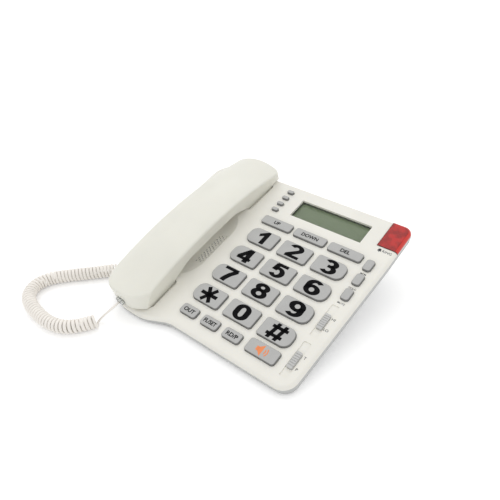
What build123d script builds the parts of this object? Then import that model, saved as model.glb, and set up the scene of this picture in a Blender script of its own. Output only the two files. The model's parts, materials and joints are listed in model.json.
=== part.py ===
from build123d import *
import math
import os

# Corded desk telephone with large keys, a display, a ring lamp and a curly cord.
# Millimetres. X runs to the right of the user, Y towards the back, Z up; the
# feet stand on Z = 0 and the origin is under the middle of the phone.
# Panel coordinates are (x, v, n): v runs up the sloping panel from its front
# edge and n stands out of the panel.

# ---- driving dimensions -------------------------------------------------
BASE_WIDTH = 236.0          # over the base
RIGHT = BASE_WIDTH / 2      # its right flank, and places measured from it below
LEFT = -BASE_WIDTH / 2      # its left flank
PANEL_LENGTH = 202.5        # front edge to rear edge, measured on the slope
REAR_HEIGHT = 58.0          # rear edge of the panel above the desk
FRONT_HEIGHT = 10.7273      # front edge of the panel above the desk
FRONT_EDGE_Y = -92.65       # front edge of the panel

WALL = 2.4                  # moulded wall of the upper shell
FLOOR_WALL = 2.2            # moulded wall of the lower shell
RIM_HEIGHT = 6.0            # depth of the upper shell's rim
RIM_ROUND = 3.6             # rounding of the rim's upper edge
SLAB_DEPTH = 8.0            # depth of the lower shell's tray below the rim
SLAB_ROUND = 4.0            # rounding under the tray
RIM_STEP = 0.8              # the lower shell stands this far inside the rim
RIGHT_BEND_V = 150.0        # in front of this the right flank draws in
RIGHT_DRAW_IN = 4.4
LEFT_BEND_V = 78.0          # in front of this the left flank runs to the cradle's lobe
LOBE_LEFT = (LEFT + 20.0, -1.0)  # corner where it meets the lobe
LOBE_FRONT_X = (LEFT + 48.0, LEFT + 75.0)
LOBE_FRONT_V = -10.4
LOBE_RIGHT_X = LEFT + 101.0
OUTLINE_RADII = (9.0, 120.0, 14.0, 30.0, 40.0, 40.0, 20.0, 60.0, 24.0)
FOOT_HEIGHT = 1.5           # rubber feet under the lower shell
FIT = 0.3                   # running clearance round moving pieces
SEAT_GAP = 0.3              # clearance where one piece rests on another
CUT = 1.0                   # cuts run this far past the faces that they open in
FAR = 200.0                 # reach of the blocks that cut everything on one side

# keys
KEY_COLUMN_PITCH = 38.5
KEY_ROW_PITCH = 27.1
KEY_SIZE = (32.3, 19.2)
KEY_FIRST = (-2.35, 40.7)   # middle of the star key
KEY_RISE = 2.4              # keys stand this far above the panel
KEY_TRAVEL = 1.3
KEY_FLANGE = 1.1            # retaining flange round a key, under the shell
KEY_FLANGE_THICK = 1.2
KEY_CORNER = 2.6
KEY_OUTER_CORNER = 7.6      # outer corners of the left and right columns
KEY_EDGE_ROUND = 0.6
KEY_SKIN = 1.8              # wall of a hollow key
KEY_POST = 5.0              # post inside a key that presses its dome
DOME_CLEAR = 0.6            # between a key's post and its dome
ARROW_ROW = (139.9, 10.6)   # lower edge and depth of the row above the digits
ARROW_X = (-18.9, 94.9)     # left and right ends of that row
ARROW_GAP = 4.0
LOWER_ROW_V = 13.2          # lower edge of the row below the digits
LOWER_KEY = (18.6, 10.2)
LOWER_KEY_X = (-6.7, 18.4, 43.5)
SPEAKER_KEY = (30.6, 13.4)
SPEAKER_KEY_X = 74.7
SIDE_KEY = (7.8, 13.0)
SIDE_KEY_X = 103.7
SIDE_KEY_V = (104.1, 122.9, 141.6)
MENU_KEY = (7.6, 4.2)
MENU_KEY_X = -16.4
MENU_KEY_V = 162.0
MENU_KEY_PITCH = 9.5
MENU_KEY_COUNT = 4

# slide switches
SLIDE_X = 101.3
SLIDE_V = (71.8, 28.9)      # middle of each recess
SLIDE_RECESS = (7.2, 36.4, 0.8)
SLIDE_KNOB = (5.4, 16.4)
SLIDE_RISE = 1.6
SLIDE_REST = -1.4           # the knobs rest this far below the recess middle
SLIDE_TRAVEL = 4.0
SLIDE_NECK = (3.0, 8.0)
SLIDE_RIBS = 6
SLIDE_RIB_SPARE = 3.0       # length of the knob's top without ribs
SLIDE_GROOVE = (0.4, 0.45)  # share of a rib's pitch, and depth
SLIDE_KNOB_CORNER = 1.0
SLIDE_RECESS_CORNER = 1.2
SLIDE_FLOOR_GAP = 0.2       # under the knob
SLIDE_CARRIER = 1.0         # thickness of the plate under the shell
SLIDE_CARRIER_SPARE = 2.0

# display and lamp
DISPLAY_OPENING = (80.7, 24.2)
DISPLAY_MIDDLE = (41.9, 175.2)
DISPLAY_LAND = 2.2          # the window overlaps the shell by this much
WINDOW_THICK = 1.4
DISPLAY_MODULE = (88.0, 30.0, 3.4)
DISPLAY_CORNERS = (1.0, 0.8)  # of the window and of the module
DISPLAY_GLASS = 1.0
DISPLAY_GLASS_SINK = 0.6
DISPLAY_GLASS_SPARE = 2.0   # the glass is wider and deeper than the opening by this much
LAMP_FRONT_V = 167.9
LAMP_LEFT_X = RIGHT - 20.8
LAMP_WALL = 1.8
LAMP_RISE = 0.7
LAMP_SEAT_GAP = 0.1
LAMP_BOARD_TOP_GAP = 0.4    # the lamp board's underside lies this far above the rim's lower edge
LAMP_BOARD_GAP = (1.2, 3.4)  # inside the cap's walls, at the panel's side and at the rim's
LAMP_POST = 2.4
LAMP_POST_INSET = 4.0       # from the board's front and rear edges
DIODE = (1.5, 1.2)          # radius and height
DIODE_INSET = (5.0, 7.0)

# inner stack under the keys, as depths below the panel
DOME_HEIGHT = 1.3
MEMBRANE_THICK = 0.8
BOARD_THICK = 1.6
BOARD_X = (-22.0, RIGHT - 9.4)
BOARD_V = (13.4, 160.0)
BOARD_TONGUE = (82.0, 195.0)  # the board's part beside the display: right edge, rear edge
BOARD_CORNER = 2.0
BOARD_BOSS = 6.0
BOARD_SCREW = 2.6
BOARD_SCREW_GRIP = 0.3      # the screws' threads are this much thinner than the board's holes
BOARD_SCREW_LENGTH = 4.5
BOARD_SCREW_HEAD = (2.4, 1.6)
BOSS_CLEAR = 0.9            # round the case bosses that pass through the board and the sheet
SHEET_BOSS_CLEAR = 0.4      # round the board's own bosses in the sheet
SHEET_INSET = 0.5
DOME_FOOT = 1.4             # a dome is this much wider than its key's post below
DOME_CROWN = 0.4            # and this much above
CHIP_RISE = 1.8
CHIPS = (((24.0, 32.0), (30.0, 62.0)), ((64.0, 74.0), (18.0, 70.0)),
         ((10.0, 22.0), (75.0, 95.0)), ((36.0, 45.0), (110.0, 128.0)))

# loudspeaker and its grille
SPEAKER_AT = (LEFT + 71.0, 89.0)
SPEAKER_RADIUS = 20.8
SPEAKER_SEAT = 13.5         # depth of the speaker's front below the panel
SPEAKER_DEPTH = 9.0
SPEAKER_FIT = 0.2
SPEAKER_LEDGE = 2.0         # the ring's ledge reaches this far over the loudspeaker's edge
SPEAKER_RING_WALL = 1.8
SPEAKER_RING_TOP = 1.5      # the ring grows out of the panel from this depth
SPEAKER_RING_SPAN = 20.5
SPEAKER_FRAME = 2.0
SPEAKER_BASKET = (0.62, 3.5)  # share of the radius at its narrow end, and depth
SPEAKER_MAGNET = (0.5, 4.0)
SPEAKER_CONE = (5.0, 3.0, 3.0)  # radius at its bottom, inset at its edge, depth
GRILLE_HOLE = 1.6
GRILLE_PITCH = (3.1, 4.0)
GRILLE_COUNT = (4, 10)
GRILLE_AT = (LEFT + 74.4, 89.2)

# handset
HANDSET_X = LEFT + 53.0
HANDSET_WIDTH = 54.0        # across the ridges
HANDSET_V = (-9.4, 205.6)
HANDSET_ARCH = 480.0        # radius of the arched back, at the ridges
HANDSET_ARCH_V = 86.0       # highest place of the arch
HANDSET_RIDGE = 26.0        # ridges above the panel at that place
HANDSET_CROWN = 6.0         # the back bulges this far above its ridges
HANDSET_DRAFT = 15.0        # the sides lean in, degrees
HANDSET_WALL = 2.2
HANDSET_SINK = 3.0          # the ends sink this far into their pockets
HANDSET_BAND = 12.0         # depth of the back shell's side
HANDSET_FRONT_ROUND = 23.0
HANDSET_REAR_ROUND = 9.0
HANDSET_REAR_BULGE = 3.0
HANDSET_END_SPARE = 0.6      # the ends' outline stands this far outside the ridges
HANDSET_RIDGE_ROUND = 2.2
HANDSET_SWEEP = 30.0        # angle of the arch that the bar is turned through
HANDSET_SECTION_DEPTH = 36.0
HANDSET_STEP = 0.9          # the ends narrow to their pockets at this height above the panel
HANDSET_GRIP_RUN = 20.0     # from an end's flank to the level underside of the grip
HANDSET_LEAN = 0.6          # slope of the short flanks in the pockets
HANDSET_NOSE = 5.5          # underside in front of the mouth end
HANDSET_TAIL = 3.0          # and behind the ear end
HANDSET_SIDE_RADII = (1.5, 1.2, 1.2, 1.5, 26.0, 26.0, 1.5, 1.2, 1.2, 1.5)
HANDSET_BOSS = 3.6
HANDSET_SCREW = 1.3
HANDSET_SCREW_LENGTH = 9.0
HANDSET_SCREW_HEAD = (2.7, 1.6)
HANDSET_HEAD_HOLE = (3.0, 2.4)  # radius, and depth above the underside of the grip
HANDSET_SCREW_CLEAR = 0.4
CAPSULE_ROUND = 1.0
GRIP_N = 10.0               # underside of the grip above the panel
MOUTH_V = (3.0, 37.0)
EAR_V = (150.0, 191.0)
EARPIECE = (17.0, 8.0)      # radius and depth of the earpiece capsule
MICROPHONE = (5.0, 5.0)
SOUND_HOLE = 2.0
SOUND_HOLE_PITCH = 4.4
HANDSET_WEIGHT = (22.0, 50.0, 4.0)
HANDSET_WEIGHT_CORNER = 2.0
HANDSET_SCREW_V = (63.5, 124.5)
HANDSET_SCREW_SEAT = 15.0   # joint face of the handset's screw bosses above the panel
POCKET_GAP = 1.2
POCKET_SPARE = 2.0          # a pocket is this much wider each side than the handset's end
POCKET_CORNER = 3.5

# cradle and hook
TROUGH_RADIUS = 60.0
TROUGH_DEPTH = 8.0
TROUGH_V = (70.0, 112.0)
HOOK_AT = (HANDSET_X, 158.0)
HOOK_SIZE = (11.0, 7.0)
HOOK_TRAVEL = 5.0
HOOK_CORNER = 2.0
HOOK_TOP_ROUND = 0.8
HOOK_FLANGE = 1.6
HOOK_FLANGE_REACH = 1.8
HOOK_REST_GAP = 0.2         # left above the flange when the hook is up
HOOK_SWITCH = (16.0, 12.0, 10.0)
HOOK_CHEEK = (1.6, 10.0)    # thickness and length of the cheeks beside the switch
HOOK_PINS = (4.0, 1.0, 0.8, 3.0)  # half pitch, width, thickness and length of the switch's pins

# lower shell
STAND_X = (LEFT + 40.0, RIGHT - 40.0)
STAND_Y = (-74.0, 86.0)
STAND_ROUND = 14.0
STAND_RIM_INSET = 4.0       # the stand's walls end this far inside the rim's edge
STAND_TOP_GAP = 2.0         # and this far below the rim
BATTERY_BAY = (60.0, 64.0, 17.0)
BATTERY_BAY_AT = (10.0, 36.0)
BATTERY_RADIUS = 7.2
BATTERY_LENGTH = 50.0
BATTERY_COUNT = 4
BATTERY_SPACE = 1.0         # between two cells
BATTERY_CAP = (2.6, 0.7)    # radius and height of a cell's contact cap
CONTACT = (0.6, 10.0)       # thickness and width of a contact plate
CONTACT_BUMP = 2.5
DOOR_THICK = 2.0
DOOR_LAP = 5.0              # the door's rebate is this much larger than the compartment
DOOR_GAP = 0.6              # the door is this much smaller than its rebate
DOOR_CORNER = 2.5
DOOR_CLEAR = 0.2            # between the door and the cells
DOOR_SEAT_GAP = 0.1         # between the door and its rebate
DOOR_GROOVES = 5
DOOR_GROOVE = (20.0, 1.2, 0.5)
DOOR_GROOVE_PITCH = 2.5
DOOR_GROOVE_INSET = 4.0
BALLAST = (84.0, 34.0, 3.0)
BALLAST_X = 26.0
BALLAST_GAP = 4.0
BALLAST_CORNER = 4.0
FOOT_RADIUS = 6.5
FOOT_SINK = 1.0
FOOT_ROUND = 0.6
FOOT_INSET = 54.0           # from the flanks
FEET = tuple((x, y) for y in (-60.0, 74.0) for x in (LEFT + FOOT_INSET, RIGHT - FOOT_INSET))
SCREW_AT = ((LEFT + 15.5, 52.0), (RIGHT - 9.8, 50.0), (LEFT + 12.0, 188.0), (RIGHT - 30.0, 196.0))
SCREW_RADIUS = 1.5
SCREW_HEAD = 2.9
SCREW_HEAD_THICK = 1.9
SCREW_CROSS = (3.6, 0.9, 0.8)  # length, width and depth of the cross in a head
SMALL_CROSS = (3.4, 0.8, 0.7)
SCREW_CLEAR = 0.3
SCREW_END_GAP = 1.6         # a screw's tip ends this far under the panel's wall
SCREW_SEAT = 11.8           # depth of the screw heads' seats below the panel
SCREW_JOINT = 9.0           # depth where the two shells' bosses meet
BOSS_RADIUS = 3.6
LOWER_BOSS_RADIUS = 4.2
LINE_JACK_X = -42.0
LINE_JACK = (14.0, 15.0, 12.0)
LINE_SOCKET = (10.0, 11.0, 7.0)
LINE_JACK_Z = 13.0
LINE_KEY_WAY = (4.0, 1.4)   # width and depth of the groove for the plug's latch
LINE_JACK_WALL = 2.0

# curly cord
CORD_WIRE = 2.0
CORD_OUTER = 13.0
CORD_Z = 6.8
CORD_PITCH = 3.45
CORD_JACK_Y = -70.0
JACK_FACE_X = LEFT + 12.5
JACK_BODY = (15.0, 11.0, 8.8)
JACK_WALL = (1.5, 1.0, 3.0)  # housing beside, above and behind the socket block
JACK_HOUSING_LIFT = 0.6     # the housing's underside clears the desk by this much more
PLUG_SIZE = (11.0, 7.4, 6.2)
PLUG_OUT = 3.0
PLUG_FIT = 0.15
PLUG_END_GAP = 0.4
PLUG_CHAMFER = 0.5
PLUG_LATCH = (0.6, 1.4, 1.0, 0.4)  # reach out, reach in, thickness, depth under the top
HANDSET_JACK_X = HANDSET_X - 1.0
HANDSET_JACK_N = 9.2
HANDSET_JACK_SET = 0.4      # the socket's face lies this far inside the handset's end
# the middle of the coil on the desk
CORD_ROUTE = (
    (-117.0, -71.0), (-122.5, -77.0), (-131.0, -87.5), (-142.0, -99.5),
    (-152.0, -110.5), (-160.5, -122.5), (-161.5, -137.0), (-152.5, -149.0),
    (-138.0, -154.5), (-121.5, -157.0), (-104.5, -157.5), (-90.0, -153.0),
    (-79.5, -143.0), (-72.5, -130.0),
)
CORD_CHECK_STEP = 10.0      # wire length between two places whose gap is measured

# ---- derived places -----------------------------------------------------
TILT = math.degrees(math.asin((REAR_HEIGHT - FRONT_HEIGHT) / PANEL_LENGTH))  # slope of the panel
PANEL = Location((0, FRONT_EDGE_Y, FRONT_HEIGHT), (TILT, 0, 0))
KEY_UNDER = WALL + SEAT_GAP + KEY_FLANGE_THICK
MEMBRANE_TOP = KEY_UNDER + KEY_TRAVEL + DOME_CLEAR + DOME_HEIGHT
BOARD_TOP = MEMBRANE_TOP + MEMBRANE_THICK
BASE_UP = (Align.CENTER, Align.CENTER, Align.MIN)
BOARD_THREAD = BOARD_SCREW / 2 - BOARD_SCREW_GRIP
LOWER_BOSS_INSET = RIM_STEP + FLOOR_WALL + RIM_STEP  # the upper bosses keep clear of the tray's rounding
POCKET_CUT = 24.0           # length of the cutter for the hook's hole
TRAY_BOTTOM = RIM_HEIGHT + SLAB_DEPTH


# ---- helpers --------------------------------------------------------------
def block(x, v, n):
    """A box between two limits on each axis, in panel or phone coordinates."""
    size = [b - a for a, b in (x, v, n)]
    middle = [(a + b) / 2 for a, b in (x, v, n)]
    return Pos(*middle) * Box(*size)


def about(middle, size):
    """The two limits of a size about its middle."""
    return middle - size / 2, middle + size / 2


def rod(x, v, low, radius, height):
    """An upright round bar, or the cutter of a round hole, that stands on n = low."""
    return Pos(x, v, low) * Cylinder(radius, height, align=BASE_UP)


def rounded(width, depth, height, radius, low=0.0):
    """A plate with rounded corners, standing on n = low."""
    face = RectangleRounded(width, depth, radius)
    return Pos(0, 0, low) * extrude(face, height)


def rounded_corners(points, radii, inset=0.0):
    """A closed outline with one radius for each corner, drawn in by an inset."""
    outline = FilletPolyline(*points, radius=list(radii), close=True)
    face = make_face(outline)
    if inset:
        face = offset(face, -inset)
    return face


def rim_outline(inset=0.0):
    """The base seen square to its panel, with the cradle's lobe at the left front."""
    points = (
        (RIGHT, PANEL_LENGTH), (RIGHT, RIGHT_BEND_V), (RIGHT - RIGHT_DRAW_IN, 0.0), (LOBE_RIGHT_X, 0.0),
        (LOBE_FRONT_X[1], LOBE_FRONT_V), (LOBE_FRONT_X[0], LOBE_FRONT_V), LOBE_LEFT, (LEFT, LEFT_BEND_V),
        (LEFT, PANEL_LENGTH),
    )
    return rounded_corners(points, OUTLINE_RADII, inset)


def trough(grow=0.0):
    """The long hollow under the handset's grip, as a round-ended bar."""
    axis_n = TROUGH_RADIUS - TROUGH_DEPTH
    radius = TROUGH_RADIUS + grow
    low, high = TROUGH_V
    bar = Pos(HANDSET_X, (low + high) / 2, axis_n) * Rot(90, 0, 0) * Cylinder(radius, high - low)
    for v in (low, high):
        bar += Pos(HANDSET_X, v, axis_n) * Sphere(radius)
    return bar


def pocket(span, grow=0.0, roof=CUT):
    """A pocket in the cradle that an end of the handset sits in."""
    ridge = min(handset_ridge_n(v) for v in span)
    half = HANDSET_WIDTH / 2 - ridge * math.tan(math.radians(HANDSET_DRAFT)) + POCKET_SPARE
    length = span[1] - span[0] + 2 * POCKET_GAP
    floor = -(HANDSET_SINK + SEAT_GAP) - grow
    plate = rounded(2 * (half + grow), length + 2 * grow, roof - floor, POCKET_CORNER + grow, floor)
    return Pos(HANDSET_X, sum(span) / 2, 0) * plate


def handset_ridge_n(v):
    """How far the handset's ridges stand above the panel at v."""
    drop = HANDSET_ARCH - math.sqrt(HANDSET_ARCH**2 - (v - HANDSET_ARCH_V)**2)
    return HANDSET_RIDGE - drop


# ---- keys -----------------------------------------------------------------
def key_face(size, side, grow=0.0):
    """A key's outline. side is -1 or 1 for a strongly rounded left or right end."""
    width, depth = size
    face = RectangleRounded(width, depth, min(KEY_CORNER, depth * 0.45))
    if side:
        corner = KEY_OUTER_CORNER
        x0, x1 = -width / 2, width / 2
        y0, y1 = -depth / 2, depth / 2
        points = ((x0, y0), (x1, y0), (x1, y1), (x0, y1))
        left = corner if side < 0 else KEY_CORNER
        right = corner if side > 0 else KEY_CORNER
        face = rounded_corners(points, (left, right, right, left))
    return offset(face, grow) if grow else face


def key(size, side=0):
    """A hollow key with its retaining flange, standing through the panel."""
    height = KEY_UNDER + KEY_RISE
    cap = extrude(key_face(size, side), height)
    top = cap.faces().sort_by(Axis.Z)[-1]
    cap = fillet(top.edges(), KEY_EDGE_ROUND)
    flange = extrude(key_face(size, side, KEY_FLANGE), KEY_FLANGE_THICK)
    hollow = extrude(key_face(size, side, -KEY_SKIN), height - KEY_SKIN)
    post = extrude(Circle(key_post_radius(size)), height - KEY_SKIN / 2)
    return Pos(0, 0, -KEY_UNDER) * (cap + flange - hollow + post)


def key_post_radius(size):
    """Radius of the post inside a key."""
    return min(KEY_POST, size[1] / 2) / 2


def key_opening(size, side=0):
    """The hole in the shell that a key slides in."""
    face = key_face(size, side, FIT)
    return Pos(0, 0, -WALL - CUT) * extrude(face, WALL + 2 * CUT)


def number_keys():
    """The twelve number keys: (name, x, v, size, side)."""
    names = (
        ("key_star", "key_0", "key_hash"), ("key_7", "key_8", "key_9"),
        ("key_4", "key_5", "key_6"), ("key_1", "key_2", "key_3"),
    )
    for row, line in enumerate(names):
        for column, name in enumerate(line):
            x = KEY_FIRST[0] + column * KEY_COLUMN_PITCH
            v = KEY_FIRST[1] + row * KEY_ROW_PITCH
            yield name, x, v, KEY_SIZE, column - 1


def function_keys():
    """The keys round the number keys: (name, x, v, size, side)."""
    low, depth = ARROW_ROW
    width = (ARROW_X[1] - ARROW_X[0] - 2 * ARROW_GAP) / 3
    for place, name in enumerate(("key_up", "key_down", "key_delete")):
        x = ARROW_X[0] + width / 2 + place * (width + ARROW_GAP)
        yield name, x, low + depth / 2, (width, depth), 0
    for x, name in zip(LOWER_KEY_X, ("key_out", "key_flash", "key_redial")):
        yield name, x, LOWER_ROW_V + LOWER_KEY[1] / 2, LOWER_KEY, 0
    yield "key_speaker", SPEAKER_KEY_X, LOWER_ROW_V + SPEAKER_KEY[1] / 2, SPEAKER_KEY, 0
    for v, name in zip(SIDE_KEY_V, ("key_side_lower", "key_side_middle", "key_side_upper")):
        yield name, SIDE_KEY_X, v, SIDE_KEY, 0
    for place in range(MENU_KEY_COUNT):
        v = MENU_KEY_V + place * MENU_KEY_PITCH
        yield f"key_menu_{place + 1}", MENU_KEY_X, v, MENU_KEY, 0


def all_keys():
    """Every push key of the panel."""
    yield from number_keys()
    yield from function_keys()


# ---- slide switches ---------------------------------------------------------
def slide_knob():
    """A ribbed knob with its neck and the carrier plate under the shell."""
    width, length = SLIDE_KNOB
    low = SLIDE_FLOOR_GAP - SLIDE_RECESS[2]
    knob = rounded(width, length, SLIDE_RISE - low, SLIDE_KNOB_CORNER, low)
    pitch = (length - SLIDE_RIB_SPARE) / SLIDE_RIBS
    share, depth = SLIDE_GROOVE
    for place in range(SLIDE_RIBS):
        v = (place - (SLIDE_RIBS - 1) / 2) * pitch
        knob -= Pos(0, v, SLIDE_RISE) * Box(width + 2 * CUT, pitch * share, 2 * depth)
    under = WALL + SEAT_GAP
    neck = block(about(0, SLIDE_NECK[0]), about(0, SLIDE_NECK[1]), (-under - SLIDE_CARRIER, 0))
    reach = SLIDE_NECK[1] + 4 * SLIDE_TRAVEL + 2 * SLIDE_CARRIER_SPARE
    carrier = block(about(0, width), about(0, reach), (-under - SLIDE_CARRIER, -under))
    return knob + neck + carrier


def slide_opening():
    """The recess of a slide switch and the slot that its neck runs in."""
    width, length, depth = SLIDE_RECESS
    recess = rounded(width, length, depth + CUT, SLIDE_RECESS_CORNER, -depth)
    slot_length = SLIDE_NECK[1] + 2 * (SLIDE_TRAVEL + FIT)
    slot = block(about(0, SLIDE_NECK[0] + 2 * FIT), about(SLIDE_REST, slot_length), (-WALL - CUT, 0))
    return recess + slot


# ---- base shells ------------------------------------------------------------
def lamp_space(gap=0.0):
    """The corner of the rim that the ring lamp fills."""
    along = (LAMP_FRONT_V - gap, FAR + PANEL_LENGTH)
    return block((LAMP_LEFT_X - gap, FAR), along, (-RIM_HEIGHT - CUT, FAR))


def rim_solid(inset=0.0, low=-RIM_HEIGHT, high=0.0):
    """The rim's outline as a plate between two depths."""
    return Pos(0, 0, low) * extrude(rim_outline(inset), high - low)


def speaker_ring():
    """The ring under the grille that the loudspeaker seats in."""
    x, v = SPEAKER_AT
    low = -SPEAKER_RING_TOP - SPEAKER_RING_SPAN
    radius = SPEAKER_RADIUS + SPEAKER_FIT
    ring = rod(x, v, low, radius + SPEAKER_RING_WALL, SPEAKER_RING_SPAN)
    ring -= rod(x, v, low - CUT, SPEAKER_RADIUS - SPEAKER_LEDGE, SPEAKER_RING_SPAN + 2 * CUT)
    return ring - rod(x, v, -SPEAKER_SEAT - SPEAKER_DEPTH, radius, SPEAKER_DEPTH)


def hook_cheeks():
    """The two cheeks under the cradle that hold the hook switch."""
    x, v = HOOK_AT
    thick, length = HOOK_CHEEK
    cheeks = []
    for side in (-1, 1):
        middle = x + side * (HOOK_SWITCH[0] + thick) / 2
        heights = (hook_switch_low(), -HANDSET_SINK - CUT)
        cheeks.append(block(about(middle, thick), about(v, length), heights))
    return cheeks


def upper_bosses():
    """Bosses under the panel for the main board's screws and the case screws."""
    bosses = [rod(x, v, -BOARD_TOP, BOARD_BOSS / 2, BOARD_TOP - WALL / 2) for x, v in board_screw_places()]
    within = rim_solid(LOWER_BOSS_INSET, -SCREW_JOINT, 0)
    for x, v in SCREW_AT:
        bosses.append(rod(x, v, -SCREW_JOINT, BOSS_RADIUS, SCREW_JOINT - WALL / 2) & within)
    return bosses


def panel_openings():
    """Everything that is cut out of the panel, as separate cutters."""
    hook_x, hook_v = HOOK_AT
    cutters = [trough(), pocket(MOUTH_V), pocket(EAR_V), lamp_space(), grille_holes()]
    cutters.append(Pos(hook_x, hook_v, -POCKET_CUT / 2) * extrude(hook_face(FIT), POCKET_CUT))
    cutters += [Pos(x, v, 0) * key_opening(size, side) for _, x, v, size, side in all_keys()]
    cutters += [Pos(SLIDE_X, v, 0) * slide_opening() for v in SLIDE_V]
    cutters.append(Pos(*DISPLAY_MIDDLE, -WALL / 2) * Box(*DISPLAY_OPENING, WALL + 2 * CUT))
    for x, v in SCREW_AT:
        cutters.append(rod(x, v, -SCREW_JOINT - CUT, SCREW_RADIUS, SCREW_JOINT - WALL - FIT))
    for x, v in board_screw_places():
        cutters.append(rod(x, v, -BOARD_TOP - CUT, BOARD_THREAD, BOARD_SCREW_LENGTH))
    return cutters


def top_shell():
    """Upper shell: panel, rim, cradle, openings, bosses and speaker ring."""
    outer = rim_solid()
    upper_edges = outer.faces().sort_by(Axis.Z)[-1].edges()
    outer = fillet(upper_edges, RIM_ROUND)
    shell = outer - rim_solid(WALL, -RIM_HEIGHT - CUT, -WALL)
    inside = rim_solid(WALL + CUT, -FAR, -WALL / 2)
    shell += trough(WALL) & inside
    for span in (MOUTH_V, EAR_V):
        shell += pocket(span, WALL, -WALL / 2) & outer
    shell += speaker_ring() & inside
    for piece in hook_cheeks() + upper_bosses():
        shell += piece
    for cutter in panel_openings():
        shell -= cutter
    return PANEL * shell - jack_housing(FIT)


def hook_face(grow=0.0):
    """Section of the hook plunger."""
    face = RectangleRounded(*HOOK_SIZE, HOOK_CORNER)
    return offset(face, grow) if grow else face


def hook_flange_top():
    """Depth of the plunger's flange when the handset holds it down."""
    return -(HANDSET_SINK + SEAT_GAP + WALL + HOOK_TRAVEL + HOOK_REST_GAP)


def hook_switch_low():
    """Lowest depth of the hook switch."""
    return hook_flange_top() - HOOK_FLANGE - SEAT_GAP - HOOK_SWITCH[2]


def board_screw_places():
    """Where the main board is screwed to the upper shell."""
    columns = (KEY_FIRST[0] + KEY_COLUMN_PITCH * 0.5, KEY_FIRST[0] + KEY_COLUMN_PITCH * 1.5)
    rows = (KEY_FIRST[1] + KEY_ROW_PITCH * 0.5, KEY_FIRST[1] + KEY_ROW_PITCH * 2.5)
    return [(x, v) for x in columns for v in rows]


def grille_holes():
    """Round holes in staggered columns over the loudspeaker."""
    columns, rows = GRILLE_COUNT
    holes = []
    for column in range(columns):
        stagger = 0.5 * (column % 2) - 0.25
        for row in range(rows):
            x = GRILLE_AT[0] + (column - (columns - 1) / 2) * GRILLE_PITCH[0]
            v = GRILLE_AT[1] + (row - (rows - 1) / 2 + stagger) * GRILLE_PITCH[1]
            holes.append(rod(x, v, -SPEAKER_SEAT, GRILLE_HOLE / 2, SPEAKER_SEAT + CUT))
    return Compound(children=holes)


def tray_solid(inset, depth, rounding):
    """The shallow tray under the rim, with a rounded lower edge."""
    tray = rim_solid(RIM_STEP + inset, -RIM_HEIGHT - depth, -RIM_HEIGHT)
    lower_edges = tray.faces().sort_by(Axis.Z)[0].edges()
    return PANEL * fillet(lower_edges, rounding)


def stand_solid(inset, low):
    """The wedge that holds the tray up at the back, under the rim's plane."""
    left, right = STAND_X
    front, back = STAND_Y
    face = RectangleRounded(right - left - 2 * inset, back - front - 2 * inset, STAND_ROUND - inset)
    wedge = Pos((left + right) / 2, (front + back) / 2, low) * extrude(face, REAR_HEIGHT)
    return wedge & (PANEL * rim_solid(RIM_STEP + STAND_RIM_INSET, -FAR, -RIM_HEIGHT - STAND_TOP_GAP))


def above(z):
    """Everything above a height, as a large block."""
    return block((-FAR, FAR), (-FAR, FAR), (z, FAR))


def battery_bay(grow=0.0, high=0.0):
    """The battery compartment seen from below."""
    x, y = BATTERY_BAY_AT
    width, depth, height = BATTERY_BAY
    heights = (FOOT_HEIGHT, FOOT_HEIGHT + height + high)
    return block(about(x, width + 2 * grow), about(y, depth + 2 * grow), heights)


def door_rebate(grow=0.0):
    """The step round the battery compartment that its door lies in."""
    x, y = BATTERY_BAY_AT
    width = BATTERY_BAY[0] + DOOR_LAP + 2 * grow
    depth = BATTERY_BAY[1] + DOOR_LAP + 2 * grow
    return Pos(x, y, 0) * rounded(width, depth, DOOR_THICK + grow, DOOR_CORNER, FOOT_HEIGHT - grow)


def jack_housing(grow=0.0):
    """The box on the left flank that carries the handset cord's socket."""
    length, width, height = JACK_BODY
    beside, over, behind = JACK_WALL
    low = CORD_Z - height / 2 - over
    if not grow:
        low += JACK_HOUSING_LIFT
    return block(
        (JACK_FACE_X - grow, JACK_FACE_X + length + behind),
        about(CORD_JACK_Y, width + 2 * (beside + grow)),
        (low, CORD_Z + height / 2 + over + grow),
    )


def cord_jack_space():
    """The cavity in the housing that holds the socket block."""
    length, width, height = JACK_BODY
    return block((JACK_FACE_X - CUT, JACK_FACE_X + length), about(CORD_JACK_Y, width), about(CORD_Z, height))


def line_jack_space():
    """The cavity in the stand's back wall that holds the line socket."""
    width, length, height = LINE_JACK
    back = STAND_Y[1]
    return block(about(LINE_JACK_X, width), (back - length, back + CUT), about(LINE_JACK_Z, height))


def line_jack_housing():
    """The walls round the line socket, inside the stand."""
    width, length, height = LINE_JACK
    across = about(LINE_JACK_X, width + 2 * LINE_JACK_WALL)
    along = (STAND_Y[1] - length - LINE_JACK_WALL, STAND_Y[1] - FLOOR_WALL / 2)
    return block(across, along, (FOOT_HEIGHT, LINE_JACK_Z + height / 2 + LINE_JACK_WALL))


def tray_and_stand():
    """The lower shell's walls: the shallow tray and the wedge that it stands on."""
    outer = (tray_solid(0, SLAB_DEPTH, SLAB_ROUND) + stand_solid(0, FOOT_HEIGHT)) & above(FOOT_HEIGHT)
    tray_inside = tray_solid(FLOOR_WALL, SLAB_DEPTH - FLOOR_WALL, SLAB_ROUND - FLOOR_WALL)
    inner = (tray_inside + stand_solid(FLOOR_WALL, FOOT_HEIGHT)) & above(FOOT_HEIGHT + FLOOR_WALL)
    opening = PANEL * rim_solid(RIM_STEP + FLOOR_WALL, -RIM_HEIGHT - CUT, -RIM_HEIGHT + CUT)
    return outer - inner - opening


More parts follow.
